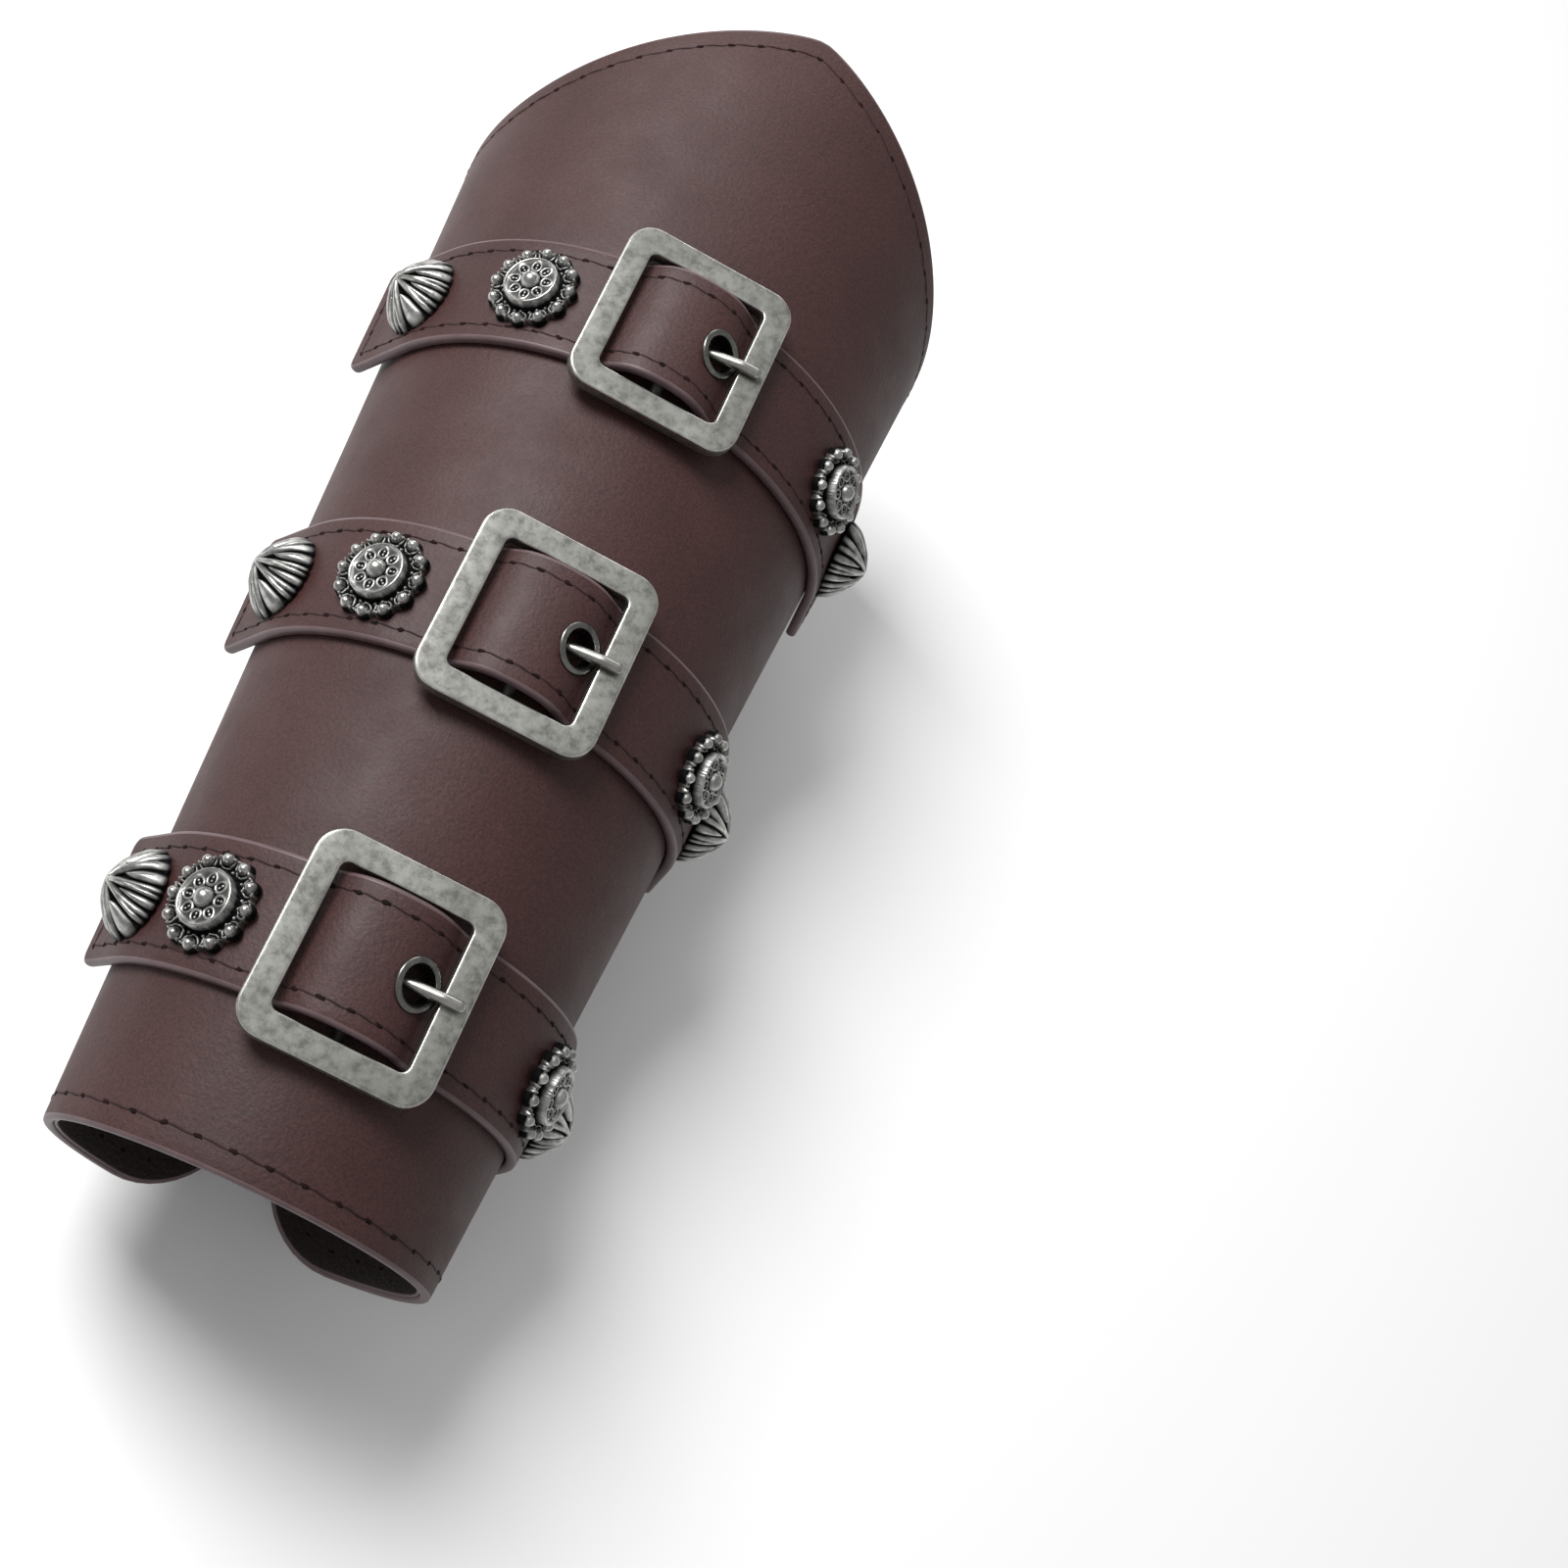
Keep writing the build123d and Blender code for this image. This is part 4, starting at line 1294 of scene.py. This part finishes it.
def gap_edges(side, y):
    return (side * half_gap(y), y), (-side * half_gap(y), y)


def leg_stations(side, number):
    """From one eyelet over its flap, down the gap and up the next eyelet across."""
    start, end = eyelet_spot(side, number), eyelet_spot(-side, number + 1)
    near, far = gap_edges(side, start[1] - leg_drops[side])
    lower, low, turn = leg_under_shares
    return [
        *over_flap(start, near, leg_over_shares, lift_on_flange),
        *through_gap(near, far, lace_width, lift_inside),
        *stretch(far, end, (
            (lower, *under_washer), (low, *under_washer), (turn, *at_washer), (1, *below_barrel),
        )),
    ]


def bar_stations():
    """Straight across inside, from the first left eyelet to the first right one."""
    first_turn, first, middle, last, last_turn = bar_shares
    return stretch(eyelet_spot(-1, 0), eyelet_spot(1, 0), (
        (0, *in_barrel), (0, *below_barrel), (first_turn, *at_washer),
        (first, *under_lace), (middle, *under_lace), (last, *under_lace),
        (last_turn, *at_washer), (1, *below_barrel),
    ))


def tail_stations(side):
    """From the last eyelet over the flap and down the gap to the tail's end inside."""
    start = eyelet_spot(side, eyelets_per_flap - 1)
    near, far = gap_edges(side, start[1] + tail_climbs[side])
    rest = (far[0] - side * tail_across, far[1] + tail_along)
    tip = between(far, rest, 1 + aglet_length / math.dist(rest, far))
    high = lift_over_lace if side > 0 else lift_on_flange
    return [
        *over_flap(start, near, tail_over_shares, high),
        *stretch(start, near, ((tail_pinch_share, high, lace_in_eyelet),)),
        *through_gap(near, far, tail_pinch, lift_of_tail),
        *stretch(far, rest, (
            (tail_under_share, lift_of_tail, tail_pinch), (1, lift_of_tail, tail_pinch)
        ), beyond=tip),
    ]


def half_route(side):
    """Stations of half the lace, from the first eyelet of a flap to the tail."""
    stations = []
    for number in range(eyelets_per_flap - 1):
        stations += leg_stations(side, number)
        side = -side
    return stations + tail_stations(side)


def build_lace():
    centres, across, widths = [], [], []
    for place, lift, width, heading, dives in half_route(-1)[::-1] + bar_stations() + half_route(1):
        base, _, _, normal = under_place(*place)
        ahead = under_place(*heading)[0] - base
        side = unit(np.cross(normal, unit(ahead - normal * (ahead @ normal))))
        if dives:
            side = np.array([0.0, math.copysign(1, side[1]), 0.0])
        if across and side @ across[-1] < 0:
            side = -side
        centres.append(base + normal * lift)
        across.append(side)
        widths.append([width])
    keep = np.append(True, np.diff(run_of(np.array(centres))) > station_gap)
    centres, across, widths = (np.array(rows)[keep] for rows in (centres, across, widths))
    knots = np.append(0.0, np.cumsum(np.sqrt(np.diff(run_of(centres)))))
    fine = np.linspace(0, knots[-1], lace_samples)
    dense = hermite(centres, np.gradient(centres, knots, axis=0), knots, fine)
    run = run_of(dense)
    places = np.linspace(0, run[-1], int(run[-1] / braid_step))
    line = sample(dense, run, places)
    at_knot = np.interp(places, run, fine)
    low = np.clip(np.searchsorted(knots, at_knot) - 1, 0, len(knots) - 2)
    smooth = (1 - np.cos(math.pi * (at_knot - knots[low]) / (knots[low + 1] - knots[low]))[:, None]) / 2
    side, width = (rows[low] * (1 - smooth) + rows[low + 1] * smooth for rows in (across, widths))
    ahead = unit(np.gradient(line, axis=0))
    side = unit(side)
    side = unit(side - ahead * np.sum(side * ahead, axis=1)[:, None])
    sheets = np.linspace(-1, 1, braid_across)
    spread = np.concatenate([sheets, sheets[::-1]])
    spread = np.sign(spread) * np.abs(spread) ** braid_edge_crowding
    face = np.repeat((1.0, -1.0), braid_across)
    body = root(1 - np.abs(spread) ** braid_fullness)
    column = (spread + 1) / 2 * braid_columns
    inside = column - np.floor(column) - 0.5
    even = np.floor(column) % 2 == 0
    phase = places[:, None] / braid_pitch + np.where(even, 1, -1) * inside * braid_slant + braid_offset * even
    ridge = np.abs(np.sin(math.pi * phase)) ** braid_sharpness * (1 - braid_fall * inside ** 2)
    half = half_lace * braid_thickness_share - braid_relief
    relief = braid_relief * ridge * (braid_edge_relief + (1 - braid_edge_relief) * body)
    section = np.stack([spread * width / 2, face * (half * body + relief)], -1)
    form = sweep(line, side, np.cross(side, ahead), section)
    # Each point's shade is its ridge height, which the braid's material turns into painted shade in the
    # grooves
    make_piece("lace_braid", form, [braid], "lace", shades=np.append(ridge, (end_shade, end_shade)))


def dress_cad(node, material):
    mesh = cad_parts[node].data
    mesh.materials.clear()
    mesh.materials.append(material)
    for face in mesh.polygons:
        face.use_smooth = True


# Stage, lights and camera
def build_stage():
    corners = np.array([(-1, -1, 0), (1, -1, 0), (1, 1, 0), (-1, 1, 0)]) * floor_size / 2
    floor = mesh_object("floor", corners, np.array([(0, 1, 2, 3)]))
    look = Look("pale_floor", 0.0, floor_roughness)
    look.set("Base Color", (floor_grey, floor_grey, floor_grey))
    floor.data.materials.append(look.material)
    scene = bpy.context.scene
    scene.world = bpy.data.worlds.new("studio")
    scene.world.use_nodes = True
    background = scene.world.node_tree.nodes["Background"]
    background.inputs["Color"].default_value = (1, 1, 1, 1)
    background.inputs["Strength"].default_value = sky_strength
    scene.view_settings.view_transform = "Standard"


def area_light(name, at, size, power):
    light = bpy.data.lights.new(name, "AREA")
    light.shape = "RECTANGLE"
    light.size, light.size_y = size
    light.energy = power
    obj = new_object(name, light)
    obj.location = at
    way = Vector(light_aim) - Vector(at)
    obj.rotation_euler = way.to_track_quat("-Z", "Y").to_euler()


def build_camera():
    camera = bpy.data.cameras.new("photo_camera")
    camera.sensor_width = sensor
    camera.lens = sensor * focal_pixels / photo_width
    camera.shift_x = (photo_width / 2 - principal_point[0]) / photo_width
    camera.shift_y = (principal_point[1] - photo_width / 2) / photo_width
    camera.clip_start = nearest_seen
    obj = new_object("photo_camera", camera)
    forward = unit(laid(camera_forward))
    right = laid(camera_right)
    right = unit(right - forward * (right @ forward))
    turn = Matrix((right, np.cross(right, forward), -forward)).transposed().to_4x4()
    obj.matrix_world = Matrix.Translation(Vector(to_row(camera_at))) @ turn
    bpy.context.scene.camera = obj


build_body()
build_eyelets()
for name in STRAPS:
    build_strap(name)
    build_frame(name)
    build_prong(name)
    build_strap_eyelet(name)
    build_studs(name)
    dress_cad(name + "_stud_rivets", gunmetal)
build_lace()
dress_cad("lace_aglets", gunmetal)
build_stage()
for name, light in LIGHTS.items():
    area_light(name, **light)
build_camera()
